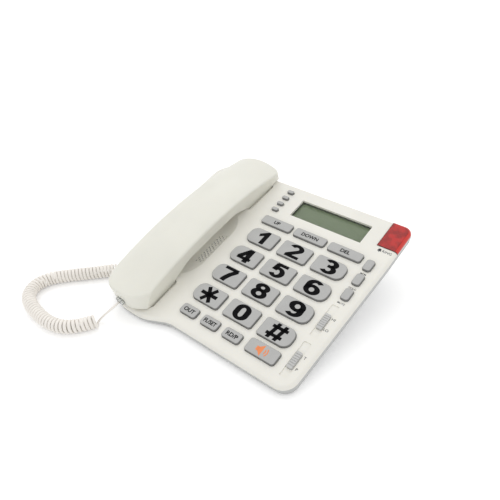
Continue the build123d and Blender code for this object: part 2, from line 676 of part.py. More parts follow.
def bottom_shell():
    """Lower shell: tray, stand, screw bosses, battery compartment and sockets."""
    shell = tray_and_stand()
    shell += battery_bay(FLOOR_WALL, FLOOR_WALL)
    shell -= battery_bay()
    shell += (door_rebate(FLOOR_WALL) - battery_bay()) & above(FOOT_HEIGHT)
    shell -= door_rebate() & block((-FAR, FAR), (-FAR, FAR), (0, FOOT_HEIGHT + DOOR_THICK))
    shell += jack_housing() - cord_jack_space()
    shell -= cord_jack_space()
    shell += line_jack_housing()
    shell -= line_jack_space()
    within = PANEL * rim_solid(RIM_STEP + CUT, -TRAY_BOTTOM, -RIM_HEIGHT) & above(FOOT_HEIGHT)
    recess = TRAY_BOTTOM - SCREW_SEAT
    for x, v in SCREW_AT:
        boss = rod(x, v, -TRAY_BOTTOM, LOWER_BOSS_RADIUS, TRAY_BOTTOM - SCREW_JOINT)
        shell += PANEL * boss & within
        shell -= PANEL * rod(x, v, -TRAY_BOTTOM, SCREW_RADIUS + SCREW_CLEAR, TRAY_BOTTOM)
        shell -= PANEL * rod(x, v, -TRAY_BOTTOM - 2 * CUT, SCREW_HEAD + SCREW_CLEAR, recess + 2 * CUT)
    post_height = TRAY_BOTTOM - CUT - lamp_board_depth()
    for x, v in lamp_post_places():
        shell += PANEL * rod(x, v, -TRAY_BOTTOM + CUT, LAMP_POST, post_height)
    for x, y in FEET:
        shell -= rod(x, y, 0, FOOT_RADIUS, FOOT_HEIGHT + FOOT_SINK)
    return shell


def cross(length, width, depth):
    """The cutter of a cross in a screw's head, which lies at n = 0."""
    return Box(length, width, 2 * depth) + Box(width, length, 2 * depth)


def case_screws():
    """Four screws that hold the shells together, up through the lower bosses."""
    head = rod(0, 0, -SCREW_HEAD_THICK, SCREW_HEAD, SCREW_HEAD_THICK)
    head -= Pos(0, 0, -SCREW_HEAD_THICK) * cross(*SCREW_CROSS)
    screw = head + rod(0, 0, 0, SCREW_RADIUS, SCREW_SEAT - WALL - SCREW_END_GAP)
    return [PANEL * Pos(x, v, -SCREW_SEAT) * screw for x, v in SCREW_AT]


def rubber_feet():
    """Round feet pressed into their recesses."""
    feet = []
    for x, y in FEET:
        foot = rod(x, y, 0, FOOT_RADIUS, FOOT_HEIGHT + FOOT_SINK)
        lower = foot.faces().sort_by(Axis.Z)[0].edges()
        feet.append(fillet(lower, FOOT_ROUND))
    return feet


def battery_door():
    """The door over the batteries, with grooves for a fingertip."""
    x, y = BATTERY_BAY_AT
    width = BATTERY_BAY[0] + DOOR_LAP - DOOR_GAP
    depth = BATTERY_BAY[1] + DOOR_LAP - DOOR_GAP
    corner = DOOR_CORNER - DOOR_GAP / 2
    door = Pos(x, y, 0) * rounded(width, depth, DOOR_THICK - DOOR_SEAT_GAP, corner, FOOT_HEIGHT)
    across, wide, deep = DOOR_GROOVE
    first = y + BATTERY_BAY[1] / 2 - DOOR_GROOVE_INSET
    for line in range(DOOR_GROOVES):
        door -= Pos(x, first - DOOR_GROOVE_PITCH * line, FOOT_HEIGHT) * Box(across, wide, 2 * deep)
    return door


def cell_places():
    """Middles of the cells: (y, z) of each."""
    z = FOOT_HEIGHT + DOOR_THICK + DOOR_CLEAR + BATTERY_RADIUS
    pitch = 2 * BATTERY_RADIUS + BATTERY_SPACE
    first = BATTERY_BAY_AT[1] - (BATTERY_COUNT - 1) / 2 * pitch
    return [(first + place * pitch, z) for place in range(BATTERY_COUNT)]


def batteries():
    """Four round cells side by side, each with its contact cap."""
    radius, rise = BATTERY_CAP
    barrel = BATTERY_LENGTH - 2 * (CONTACT[0])
    cell = Cylinder(BATTERY_RADIUS, barrel) + Pos(0, 0, BATTERY_LENGTH / 2) * Cylinder(radius, 2 * rise)
    cells = []
    for place, (y, z) in enumerate(cell_places()):
        way = 90 if place % 2 else -90
        cells.append(Pos(BATTERY_BAY_AT[0], y, z) * Rot(0, way, 0) * cell)
    return cells


def battery_contacts():
    """Contact plates at both ends of the battery compartment."""
    thick, width = CONTACT
    wall = BATTERY_BAY[0] / 2
    reach = wall - BATTERY_LENGTH / 2 - 2 * thick
    plates = []
    for side in (-1, 1):
        for y, z in cell_places():
            plate = Pos(BATTERY_BAY_AT[0] + side * (wall - thick / 2), y, z) * Box(thick, width, width)
            middle = BATTERY_BAY_AT[0] + side * (wall - (reach + thick) / 2)
            bump = Pos(middle, y, z) * Rot(0, 90, 0) * Cylinder(CONTACT_BUMP, reach - thick)
            plates.append(plate + bump)
    return plates


# ---- pieces inside the base ---------------------------------------------------
def display_window():
    """Clear plate glued behind the display's opening."""
    width, depth = (side + 2 * DISPLAY_LAND for side in DISPLAY_OPENING)
    plate = rounded(width, depth, WINDOW_THICK, DISPLAY_CORNERS[0], -WALL - WINDOW_THICK)
    return PANEL * Pos(*DISPLAY_MIDDLE, 0) * plate


def display_module():
    """The display's glass in its frame, behind the window."""
    width, depth, thick = DISPLAY_MODULE
    top = -WALL - WINDOW_THICK
    frame = rounded(width, depth, thick, DISPLAY_CORNERS[1], top - thick)
    sides = [side + DISPLAY_GLASS_SPARE for side in DISPLAY_OPENING]
    frame -= Pos(0, 0, top) * Box(*sides, 2 * DISPLAY_GLASS_SINK)
    glass = Pos(0, 0, top - DISPLAY_GLASS_SINK - DISPLAY_GLASS / 2) * Box(*sides, DISPLAY_GLASS)
    return PANEL * Pos(*DISPLAY_MIDDLE, 0) * (frame + glass)


def lamp_lens():
    """Clear red cap that fills the rear right corner, hollow underneath."""
    outer = rim_solid(0, -RIM_HEIGHT + LAMP_SEAT_GAP, LAMP_RISE)
    top_edges = outer.faces().sort_by(Axis.Z)[-1].edges()
    lens = fillet(top_edges, RIM_ROUND) & lamp_space(-FIT / 2)
    hollow = rim_solid(LAMP_WALL, -RIM_HEIGHT - CUT, LAMP_RISE - LAMP_WALL) & lamp_space(-LAMP_WALL)
    return PANEL * (lens - hollow)


def lamp_board_depth():
    """Depth of the lamp board's underside below the panel."""
    return RIM_HEIGHT - LAMP_BOARD_TOP_GAP


def lamp_board_limits():
    """Limits of the lamp board: (left, right), (front, back)."""
    near, far = LAMP_BOARD_GAP
    across = (LAMP_LEFT_X + LAMP_WALL + near, RIGHT - LAMP_WALL - far)
    along = (LAMP_FRONT_V + LAMP_WALL + near, PANEL_LENGTH - LAMP_WALL - far)
    return across, along


def lamp_post_places():
    """Where the lower shell's posts carry the lamp board."""
    (left, right), (front, back) = lamp_board_limits()
    middle = (left + right) / 2
    return ((middle, front + LAMP_POST_INSET), (middle, back - LAMP_POST_INSET))


def lamp_board():
    """Small board with four light-emitting diodes under the lamp's cap."""
    (x0, x1), (v0, v1) = lamp_board_limits()
    low = -lamp_board_depth()
    board = block((x0, x1), (v0, v1), (low, low + BOARD_THICK))
    across, along = DIODE_INSET
    for x in (x0 + across, x1 - across):
        for v in (v0 + along, v1 - along):
            board += rod(x, v, low + BOARD_THICK, *DIODE)
    return PANEL * board


def board_sheet(inset, low, high):
    """The main board's outline as a sheet between two depths."""
    left, right = BOARD_X
    front, middle = BOARD_V
    tongue_right, back = BOARD_TONGUE
    points = (
        (left, front), (right, front), (right, middle), (tongue_right, middle),
        (tongue_right, back), (left, back),
    )
    face = rounded_corners(points, [BOARD_CORNER] * len(points), inset)
    return Pos(0, 0, low) * extrude(face, high - low)


def main_board():
    """The circuit board under the keys, screwed to the upper shell's bosses."""
    under = -BOARD_TOP - BOARD_THICK
    board = board_sheet(0, under, -BOARD_TOP)
    depth = BOARD_THICK + 2 * CUT
    for x, v in board_screw_places():
        board -= rod(x, v, under - CUT, BOARD_SCREW / 2, depth)
    for x, v in SCREW_AT:
        board -= rod(x, v, under - CUT, BOSS_RADIUS + BOSS_CLEAR, depth)
    for across, along in CHIPS:
        board += block(across, along, (under - CHIP_RISE, under))
    return PANEL * board


def keypad_membrane():
    """One rubber sheet with a dome under every key."""
    sheet = board_sheet(SHEET_INSET, -BOARD_TOP, -MEMBRANE_TOP)
    width, depth = (side + 2 * CUT for side in DISPLAY_MODULE[:2])
    sheet -= Pos(*DISPLAY_MIDDLE, -BOARD_TOP) * Box(width, depth, 2 * (MEMBRANE_THICK + CUT))
    for _, x, v, size, _ in all_keys():
        radius = key_post_radius(size)
        dome = Cone(radius + DOME_FOOT, radius + DOME_CROWN, DOME_HEIGHT, align=BASE_UP)
        sheet += Pos(x, v, -MEMBRANE_TOP) * dome
    through = MEMBRANE_THICK + DOME_HEIGHT + 2 * CUT
    for x, v in board_screw_places():
        sheet -= rod(x, v, -BOARD_TOP - CUT, BOARD_BOSS / 2 + SHEET_BOSS_CLEAR, through)
    for x, v in SCREW_AT:
        sheet -= rod(x, v, -BOARD_TOP - CUT, BOSS_RADIUS + BOSS_CLEAR, through)
    return PANEL * sheet


def board_screws():
    """Screws that hold the main board to the upper shell."""
    radius, thick = BOARD_SCREW_HEAD
    under = -BOARD_TOP - BOARD_THICK
    screws = []
    for x, v in board_screw_places():
        head = rod(x, v, under - thick, radius, thick)
        screws.append(PANEL * (head + rod(x, v, under, BOARD_THREAD, BOARD_SCREW_LENGTH)))
    return screws


def loudspeaker():
    """Round loudspeaker that seats in the upper shell's ring, under the grille."""
    front = -SPEAKER_SEAT
    frame = rod(0, 0, front - SPEAKER_FRAME, SPEAKER_RADIUS, SPEAKER_FRAME)
    share, depth = SPEAKER_BASKET
    basket = Cone(SPEAKER_RADIUS * share, SPEAKER_RADIUS - CUT, depth, align=BASE_UP)
    basket = Pos(0, 0, front - SPEAKER_FRAME - depth) * basket
    share, depth = SPEAKER_MAGNET
    magnet = rod(0, 0, front - SPEAKER_DEPTH, SPEAKER_RADIUS * share, depth)
    bottom, inset, depth = SPEAKER_CONE
    cone = Pos(0, 0, front - depth) * Cone(bottom, SPEAKER_RADIUS - inset, depth, align=BASE_UP)
    return PANEL * Pos(*SPEAKER_AT, 0) * (frame + basket + magnet - cone)


def hook_plunger():
    """The hook's plunger, held down by the handset's ear end."""
    low = hook_flange_top() - HOOK_FLANGE
    stem = extrude(hook_face(), -HANDSET_SINK - SEAT_GAP - low)
    stem = fillet(stem.faces().sort_by(Axis.Z)[-1].edges(), HOOK_TOP_ROUND)
    flange = extrude(hook_face(HOOK_FLANGE_REACH), HOOK_FLANGE)
    return PANEL * Pos(*HOOK_AT, low) * (stem + flange)


def hook_switch():
    """The switch under the plunger, between two cheeks of the upper shell."""
    x, v = HOOK_AT
    width, depth, height = HOOK_SWITCH
    low = hook_switch_low()
    body = block(about(x, width), about(v, depth), (low, low + height))
    half_pitch, wide, thick, length = HOOK_PINS
    for side in (-1, 1):
        body += block(about(x + side * half_pitch, wide), about(v, thick), (low - length, low))
    return PANEL * body


def ballast_plate():
    """Steel plate that steadies the base, in front of the batteries."""
    width, depth, thick = BALLAST
    bay_front = BATTERY_BAY_AT[1] - BATTERY_BAY[1] / 2 - FLOOR_WALL
    plate = rounded(width, depth, thick, BALLAST_CORNER, FOOT_HEIGHT + FLOOR_WALL)
    return Pos(BALLAST_X, bay_front - depth / 2 - BALLAST_GAP, 0) * plate


def line_jack():
    """Line socket in the stand's back wall."""
    width, length, height = LINE_SOCKET
    back = STAND_Y[1]
    body = line_jack_space() & block((-FAR, FAR), (0, back), (0, FAR))
    along = (back - length, back + CUT)
    socket = block(about(LINE_JACK_X, width), along, about(LINE_JACK_Z, height))
    key_width, key_depth = LINE_KEY_WAY
    low = LINE_JACK_Z - height / 2 - key_depth
    return body - socket - block(about(LINE_JACK_X, key_width), along, (low, LINE_JACK_Z))


def socket_block():
    """Socket for a handset plug, open towards -X, its front face at x = 0."""
    length, width, height = JACK_BODY
    plug_length, plug_width, plug_height = PLUG_SIZE
    body = block((0, length), about(0, width), about(0, height))
    return body - block(
        (-CUT, plug_length - PLUG_OUT + PLUG_END_GAP),
        about(0, plug_width + 2 * PLUG_FIT), about(0, plug_height + 2 * PLUG_FIT),
    )


def cord_plug():
    """Handset plug with its latch, pushed into a socket whose face is at x = 0."""
    length, width, height = PLUG_SIZE
    body = block((-PLUG_OUT, length - PLUG_OUT), about(0, width), about(0, height))
    body = chamfer(body.edges().filter_by(Axis.X), PLUG_CHAMFER)
    out, back, thick, sink = PLUG_LATCH
    top = height / 2 - sink
    return body + block((-PLUG_OUT - out, -PLUG_OUT + back), about(0, width / 2), (top - thick, top))


def cord_jack_base():
    """Handset socket in the base's left flank."""
    return Pos(JACK_FACE_X, CORD_JACK_Y, CORD_Z) * socket_block()


def cord_plug_base():
    """The curly cord's plug at the base."""
    return Pos(JACK_FACE_X, CORD_JACK_Y, CORD_Z) * cord_plug()


# ---- handset --------------------------------------------------------------------
def handset_bar(inset=0.0):
    """The arched bar of the handset, turned about the arch's far axis."""
    half = HANDSET_WIDTH / 2 - inset
    foot = half - HANDSET_SECTION_DEPTH * math.tan(math.radians(HANDSET_DRAFT))
    ridge = HANDSET_ARCH - inset
    low = ridge - HANDSET_SECTION_DEPTH
    crown = ridge + HANDSET_CROWN
    section = make_face(
        Polyline((-half, ridge), (-foot, low), (foot, low), (half, ridge))
        + ThreePointArc((half, ridge), (0, crown), (-half, ridge))
    )
    plane = Plane(origin=(0, 0, 0), x_dir=(1, 0, 0), z_dir=(0, -1, 0))
    bar = Rot(-HANDSET_SWEEP / 2, 0, 0) * revolve(plane * section, Axis.X, HANDSET_SWEEP)
    return Pos(HANDSET_X, HANDSET_ARCH_V, HANDSET_RIDGE - HANDSET_ARCH) * bar


def handset_plan(inset=0.0):
    """The handset's ends seen square to the panel, as a tall prism."""
    half = HANDSET_WIDTH / 2 + HANDSET_END_SPARE - inset
    front = HANDSET_V[0] + inset
    back = HANDSET_V[1] - inset
    shoulder = back - HANDSET_REAR_BULGE
    face = make_face(
        Polyline((-half, shoulder), (-half, front), (half, front), (half, shoulder))
        + ThreePointArc((half, shoulder), (0, back), (-half, shoulder))
    )
    corners = face.vertices().sort_by(Axis.Y)
    face = fillet(corners[:2], HANDSET_FRONT_ROUND - inset)
    corners = face.vertices().sort_by(Axis.Y)
    face = fillet(corners[-2:], HANDSET_REAR_ROUND - inset)
    return Pos(HANDSET_X, 0, -FAR / 2) * extrude(face, FAR)


def handset_side(inset=0.0):
    """The handset's side view below its back: two ends that hang down and a grip."""
    sink = -HANDSET_SINK + inset
    grip = GRIP_N + inset
    step = HANDSET_STEP + inset
    lean = HANDSET_LEAN
    run = HANDSET_GRIP_RUN
    nose, tail = HANDSET_V[0] - 5 * CUT, HANDSET_V[1] + 5 * CUT
    (mouth_front, mouth_back), (ear_front, ear_back) = MOUTH_V, EAR_V
    floor_points = (
        (nose, HANDSET_NOSE + inset), (mouth_front - lean, step), (mouth_front + inset, sink),
        (mouth_back - inset, sink), (mouth_back + lean, step), (mouth_back + run, grip),
        (ear_front - run, grip), (ear_front - lean, step), (ear_front + inset, sink),
        (ear_back - inset, sink), (ear_back + lean, step), (tail, HANDSET_TAIL + inset),
    )
    floor = FilletPolyline(*floor_points, radius=list(HANDSET_SIDE_RADII))
    cover = Polyline(floor_points[-1], (tail, FAR), (nose, FAR), floor_points[0])
    plane = Plane(origin=(0, 0, 0), x_dir=(0, 1, 0), z_dir=(1, 0, 0))
    side = extrude(plane * make_face(floor + cover), 2 * HANDSET_WIDTH)
    return Pos(HANDSET_X - HANDSET_WIDTH, 0, 0) * side


def handset_form(inset=0.0):
    """The handset's whole form, drawn in by an inset for its hollow."""
    return handset_bar(inset) & handset_plan(inset) & handset_side(inset)


def handset_parting(drop):
    """Everything on the handset's back above its parting line."""
    bar = Pos(HANDSET_X, HANDSET_ARCH_V, HANDSET_RIDGE - HANDSET_ARCH) * Rot(0, 90, 0)
    outer = bar * Cylinder(HANDSET_ARCH + HANDSET_RIDGE, 2 * HANDSET_WIDTH)
    return outer - bar * Cylinder(HANDSET_ARCH - drop, 3 * HANDSET_WIDTH)


def handset_outer():
    """The handset's form with its ridges rounded."""
    form = handset_form()
    limit = HANDSET_RIDGE_ROUND + FIT
    ridges = [edge for edge in form.edges() if edge.center().Z > handset_ridge_n(edge.center().Y) - limit]
    return fillet(ridges, HANDSET_RIDGE_ROUND)


def handset_shells():
    """The handset's back shell and face shell, hollow, with bosses and sound holes."""
    outer = handset_outer()
    shell = outer - handset_form(HANDSET_WALL)
    above_parting = handset_parting(HANDSET_BAND)
    back = shell & above_parting
    face = shell - above_parting
    x = HANDSET_X
    hole, recess = HANDSET_HEAD_HOLE
    for v in HANDSET_SCREW_V:
        boss = rod(x, v, HANDSET_SCREW_SEAT, HANDSET_BOSS, FAR)
        boss -= rod(x, v, HANDSET_SCREW_SEAT - CUT, HANDSET_SCREW, HANDSET_SCREW_LENGTH)
        back += boss & outer
        face += rod(x, v, GRIP_N + CUT, HANDSET_BOSS, HANDSET_SCREW_SEAT - GRIP_N - CUT)
        face -= rod(x, v, 0, HANDSET_SCREW + HANDSET_SCREW_CLEAR, HANDSET_RIDGE)
        face -= rod(x, v, 0, hole, GRIP_N + recess)
    for span, rings in ((EAR_V, 2), (MOUTH_V, 1)):
        face -= Pos(x, sum(span) / 2, 0) * sound_holes(rings)
    return PANEL * (back - handset_jack_space()), PANEL * (face - handset_jack_space())


def sound_holes(rings):
    """Round holes in rings about a middle one, through the face shell."""
    places = [(0.0, 0.0)]
    for ring in range(1, rings + 1):
        for place in range(6 * ring):
            turn = math.radians(60 / ring * place)
            reach = ring * SOUND_HOLE_PITCH
            places.append((reach * math.cos(turn), reach * math.sin(turn)))
    height = HANDSET_SINK + 2 * HANDSET_WALL
    return Compound(children=[rod(x, v, -HANDSET_SINK - CUT, SOUND_HOLE / 2, height) for x, v in places])


def handset_jack_place():
    """Where the handset's socket sits: its open face looks out of the front end."""
    return Pos(HANDSET_JACK_X, HANDSET_V[0] + HANDSET_JACK_SET, HANDSET_JACK_N) * Rot(0, 0, 90)


def handset_jack_space():
    """The cavity that holds the handset's socket."""
    length, width, height = JACK_BODY
    return handset_jack_place() * block((-5 * CUT, length), about(0, width), about(0, height))


def handset_jack():
    """Socket in the handset's front end."""
    return PANEL * handset_jack_place() * socket_block()


def cord_plug_handset():
    """The curly cord's plug at the handset."""
    return PANEL * handset_jack_place() * cord_plug()


def earpiece_capsule():
    """Round receiver capsule over the ear holes."""
    capsule = rod(HANDSET_X, sum(EAR_V) / 2, HANDSET_WALL - HANDSET_SINK, *EARPIECE)
    return PANEL * fillet(capsule.faces().sort_by(Axis.Z)[-1].edges(), CAPSULE_ROUND)


def microphone_capsule():
    """Small microphone over the mouth holes."""
    return PANEL * rod(HANDSET_X, sum(MOUTH_V) / 2, HANDSET_WALL - HANDSET_SINK, *MICROPHONE)


def handset_weight():
    """Steel bar that gives the handset its weight on the hook."""
    width, length, thick = HANDSET_WEIGHT
    bar = rounded(width, length, thick, HANDSET_WEIGHT_CORNER, GRIP_N + HANDSET_WALL)
    return PANEL * Pos(HANDSET_X, sum(HANDSET_SCREW_V) / 2, 0) * bar


def handset_screws():
    """Two screws through the face shell into the back shell."""
    radius, thick = HANDSET_SCREW_HEAD
    seat = GRIP_N + HANDSET_HEAD_HOLE[1]
    screw = rod(0, 0, seat - thick, radius, thick) + rod(0, 0, seat, HANDSET_SCREW, HANDSET_SCREW_LENGTH)
    screw -= Pos(0, 0, seat - thick) * cross(*SMALL_CROSS)
    return [PANEL * Pos(HANDSET_X, v, 0) * screw for v in HANDSET_SCREW_V]


# ---- curly cord -------------------------------------------------------------------
def route_samples(steps=24):
    """Places along the coil's middle line: (point, direction, curvature, length)."""
    corners = [Vector(x, y, CORD_Z) for x, y in CORD_ROUTE]
    joints = [corners[0]]
    for first, second in zip(corners[1:-2], corners[2:-1]):
        joints.append((first + second) * 0.5)
    joints.append(corners[-1])
    samples = []
    length = 0.0
    for start, corner, end in zip(joints, corners[1:-1], joints[1:]):
        for step in range(steps):
            t = step / steps
            point = start * (1 - t)**2 + corner * (2 * t * (1 - t)) + end * t**2
            pull = (corner - start) * (2 * (1 - t)) + (end - corner) * (2 * t)
            bend = (end - corner * 2 + start) * 2
            curvature = (pull.X * bend.Y - pull.Y * bend.X) / pull.length**3
            if samples:
                length += (point - samples[-1][0]).length
            samples.append((point, pull.normalized(), curvature, length))
    return samples


def helix_point(samples, length, turn):
    """The wire's place and direction at a length along the coil and a turn angle."""
    index = 0
    while index < len(samples) - 2 and samples[index + 1][3] < length:
        index += 1
    here, after = samples[index], samples[index + 1]
    share = (length - here[3]) / (after[3] - here[3])
    middle = here[0] + (after[0] - here[0]) * share
    forward = (here[1] + (after[1] - here[1]) * share).normalized()
    curvature = here[2] + (after[2] - here[2]) * share
    left = Vector(-forward.Y, forward.X, 0)
    up = Vector(0, 0, 1)
    radius = (CORD_OUTER - CORD_WIRE) / 2
    point = middle + left * (radius * math.cos(turn)) + up * (radius * math.sin(turn))
    rate = 2 * math.pi / CORD_PITCH
    along = forward * (1 - curvature * radius * math.cos(turn))
    round_about = (up * math.cos(turn) - left * math.sin(turn)) * (radius * rate)
    return point, (along + round_about).normalized()


def biarc(start, start_way, end, end_way):
    """Two arcs that join two places smoothly, each as (start, middle, end)."""
    chord = end - start
    both = start_way + end_way
    a = 2 * (1 - start_way.dot(end_way))
    b = chord.dot(both)
    reach = (math.sqrt(b * b + a * chord.dot(chord)) - b) / a
    first = start + start_way * reach
    last = end - end_way * reach
    joint = (first + last) * 0.5
    return [
        (start, arc_middle(start, first, joint), joint),
        (joint, arc_middle(joint, last, end), end),
    ]


def arc_middle(start, corner, end):
    """Middle of the arc whose end tangents meet at a corner."""
    half = (end - start).length / 2
    foot = (start + end) * 0.5
    height = (corner - foot).length
    sagitta = half * math.tan(math.atan2(height, half) / 2)
    return foot + (corner - foot) * (sagitta / height)


def cord_arcs():
    """The whole wire as arcs, between its straight ends: (straight, arcs, straight)."""
    samples = route_samples()
    total = samples[-1][3]
    half_turns = round(total / CORD_PITCH * 2)
    places = []
    for place in range(half_turns + 1):
        places.append(helix_point(samples, total * place / half_turns, math.pi * (place + 0.5)))
    plug_face = Vector(JACK_FACE_X - PLUG_OUT, CORD_JACK_Y, CORD_Z)
    start_way = Vector(-1, 0, 0)
    start = plug_face + start_way * CORD_WIRE
    jack = PANEL * handset_jack_place()
    outside = (jack * Pos(-PLUG_OUT, 0, 0)).position
    end_way = (jack.position - outside).normalized()
    end = outside - end_way * CORD_WIRE
    places = [(start, start_way), *places, (end, end_way)]
    arcs = []
    for (a, a_way), (b, b_way) in zip(places, places[1:]):
        arcs += biarc(a, a_way, b, b_way)
    return plug_face, arcs, outside


def arc_radius(arc):
    """Radius of an arc given by three places."""
    a, b, c = arc
    chord = (c - a).length
    sagitta = (b - (a + c) * 0.5).length
    return (chord**2 / 4 + sagitta**2) / (2 * sagitta)


def wire_samples(arcs):
    """Places along the arcs with the length of wire up to each."""
    samples = []
    length = 0.0
    for a, b, c in arcs:
        corner_line = (b - (a + c) * 0.5)
        for t in (0.0, 0.25, 0.5, 0.75):
            lift = 4 * t * (1 - t)
            point = a + (c - a) * t + corner_line * lift
            if samples:
                length += (point - samples[-1][0]).length
            samples.append((point, length))
    return samples


def least_gap(samples):
    """Least gap between the wire and itself, away from the same stretch."""
    reach = 1000.0
    for index, (point, length) in enumerate(samples):
        for other, other_length in samples[index + 1:]:
            if other_length - length < CORD_CHECK_STEP:
                continue
            if abs(other.X - point.X) < reach and abs(other.Y - point.Y) < reach:
                reach = min(reach, (other - point).length)
    return reach - CORD_WIRE


def curly_cord():
    """The coiled handset cord as one unbroken tube."""
    plug_face, arcs, outside = cord_arcs()
    edges = [Edge.make_line(plug_face, arcs[0][0])]
    edges += [Edge.make_three_point_arc(*arc) for arc in arcs]
    edges.append(Edge.make_line(arcs[-1][2], outside))
    path = Wire(edges)
    section = Plane(origin=plug_face, z_dir=arcs[0][0] - plug_face) * Circle(CORD_WIRE / 2)
    tightest = min(arc_radius(arc) for arc in arcs)
    print(f"cord: {path.length:.0f} mm of wire, tightest arc {tightest:.2f} mm")
    print(f"cord: least gap to itself {least_gap(wire_samples(arcs)):.2f} mm")
    return sweep(section, path=path)


# ---- nodes ------------------------------------------------------------------------
def placed_keys():
    """Every key in its place: {node name: solid}."""
    return {name: PANEL * Pos(x, v, 0) * key(size, side) for name, x, v, size, side in all_keys()}


def placed_slides():
    """The two slide switches: {node name: solid}."""
    names = ("slide_ringer", "slide_dialling")
    knob = slide_knob()
    return {name: PANEL * Pos(SLIDE_X, v + SLIDE_REST, 0) * knob for name, v in zip(names, SLIDE_V)}


def all_nodes():
    """Every node of the telephone: {node name: shape or list of shapes}."""
    back, face = handset_shells()
    nodes = {
        "top_shell": top_shell(),
        "bottom_shell": bottom_shell(),
        "display_window": display_window(),
        "display_module": display_module(),
        "lamp_lens": lamp_lens(),
        "lamp_board": lamp_board(),
        "main_board": main_board(),
        "keypad_membrane": keypad_membrane(),
        "board_screws": board_screws(),
        "loudspeaker": loudspeaker(),
        "hook_switch": hook_switch(),
        "hook_plunger": hook_plunger(),
        "ballast_plate": ballast_plate(),
        "battery_door": battery_door(),
        "batteries": batteries(),
        "battery_contacts": battery_contacts(),
        "rubber_feet": rubber_feet(),
        "case_screws": case_screws(),
        "line_jack": line_jack(),
        "cord_jack_base": cord_jack_base(),
        "cord_plug_base": cord_plug_base(),
        "curly_cord": curly_cord(),
        "cord_plug_handset": cord_plug_handset(),
        "handset_jack": handset_jack(),
        "handset_back_shell": back,
        "handset_face_shell": face,
        "earpiece_capsule": earpiece_capsule(),
        "microphone_capsule": microphone_capsule(),
        "handset_weight": handset_weight(),
        "handset_screws": handset_screws(),
    }
    nodes.update(placed_keys())
    nodes.update(placed_slides())
    return nodes


def main():
    """Writes one STEP file for each node."""
    os.makedirs("parts", exist_ok=True)
    for name, shape in all_nodes().items():
        if isinstance(shape, list):
            shape = Compound(children=shape)
        export_step(shape, f"parts/{name}.step")


main()
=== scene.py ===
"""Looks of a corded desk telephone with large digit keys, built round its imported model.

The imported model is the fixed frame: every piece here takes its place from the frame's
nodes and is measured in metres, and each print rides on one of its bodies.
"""

from __future__ import annotations

import json
import logging
import math
from dataclasses import dataclass, field
from enum import Enum
from typing import Callable, Iterable, Sequence

import bmesh
import bpy
from mathutils import Matrix, Vector

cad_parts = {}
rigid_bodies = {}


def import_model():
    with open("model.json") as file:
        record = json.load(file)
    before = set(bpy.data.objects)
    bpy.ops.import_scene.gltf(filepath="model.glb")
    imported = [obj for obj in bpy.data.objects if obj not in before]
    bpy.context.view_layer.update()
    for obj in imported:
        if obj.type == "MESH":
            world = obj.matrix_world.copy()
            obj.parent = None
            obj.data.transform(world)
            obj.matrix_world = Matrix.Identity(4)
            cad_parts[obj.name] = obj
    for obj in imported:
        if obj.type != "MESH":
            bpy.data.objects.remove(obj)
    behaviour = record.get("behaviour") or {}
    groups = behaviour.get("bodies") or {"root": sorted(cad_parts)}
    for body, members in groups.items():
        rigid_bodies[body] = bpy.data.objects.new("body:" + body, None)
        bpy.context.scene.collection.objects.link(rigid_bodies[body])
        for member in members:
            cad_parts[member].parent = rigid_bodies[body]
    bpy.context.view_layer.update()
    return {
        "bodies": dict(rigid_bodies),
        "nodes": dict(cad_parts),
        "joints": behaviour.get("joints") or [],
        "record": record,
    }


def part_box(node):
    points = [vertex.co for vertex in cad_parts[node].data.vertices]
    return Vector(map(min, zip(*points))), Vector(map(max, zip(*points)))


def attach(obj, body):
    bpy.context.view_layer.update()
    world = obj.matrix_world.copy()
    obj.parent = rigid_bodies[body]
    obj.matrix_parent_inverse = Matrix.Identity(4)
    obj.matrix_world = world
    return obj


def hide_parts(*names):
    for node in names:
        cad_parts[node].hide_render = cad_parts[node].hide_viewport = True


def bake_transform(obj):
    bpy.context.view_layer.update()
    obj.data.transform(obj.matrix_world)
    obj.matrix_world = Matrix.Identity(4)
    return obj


LOG = logging.getLogger("telephone")
MM = 0.001
BLACK = (0.0, 0.0, 0.0)
WHITE = (1.0, 1.0, 1.0)
FLANK_EDGE = 0.1 * MM  # how softly the finish of a lower flank begins
STEEP = (0.35, 0.50)  # a face is steep below the first share of the panel's direction, flat above the second
SCATTER_DEPTH = 0.8 * MM  # how deep light goes into pale plastic, and how far red, green and blue do
SCATTER_SPREAD = (1.0, 0.9, 0.7)
FONT_EXTRUSION = 0.001  # how thick letters are drawn before they are flattened to the ink's thickness
FONT_STEPS = 6  # steps along each curve of a letter
BAND_STEPS = 14  # steps along the arcs of the drawn signs
RING_OVERLAP = 8  # degrees by which the halves of a digit's ring overlap
PLUG_LIP = 0.6 * MM  # how far inside its plug's outer face the wire begins

Colour = tuple[float, float, float]
Outline = list[tuple[float, float]]
Axis = tuple[float, float, float]
Edge = tuple[float, float]  # where a smooth step begins and ends
Material = bpy.types.Material
Mesh = bpy.types.Mesh
Socket = bpy.types.NodeSocket


def srgb(red: int, green: int, blue: int) -> Colour:
    """Turns a colour as it is seen, with levels from 0 to 255, into linear scene light."""
    levels = (level / 255 for level in (red, green, blue))
    return tuple(c / 12.92 if c <= 0.04045 else ((c + 0.055) / 1.055) ** 2.4 for c in levels)


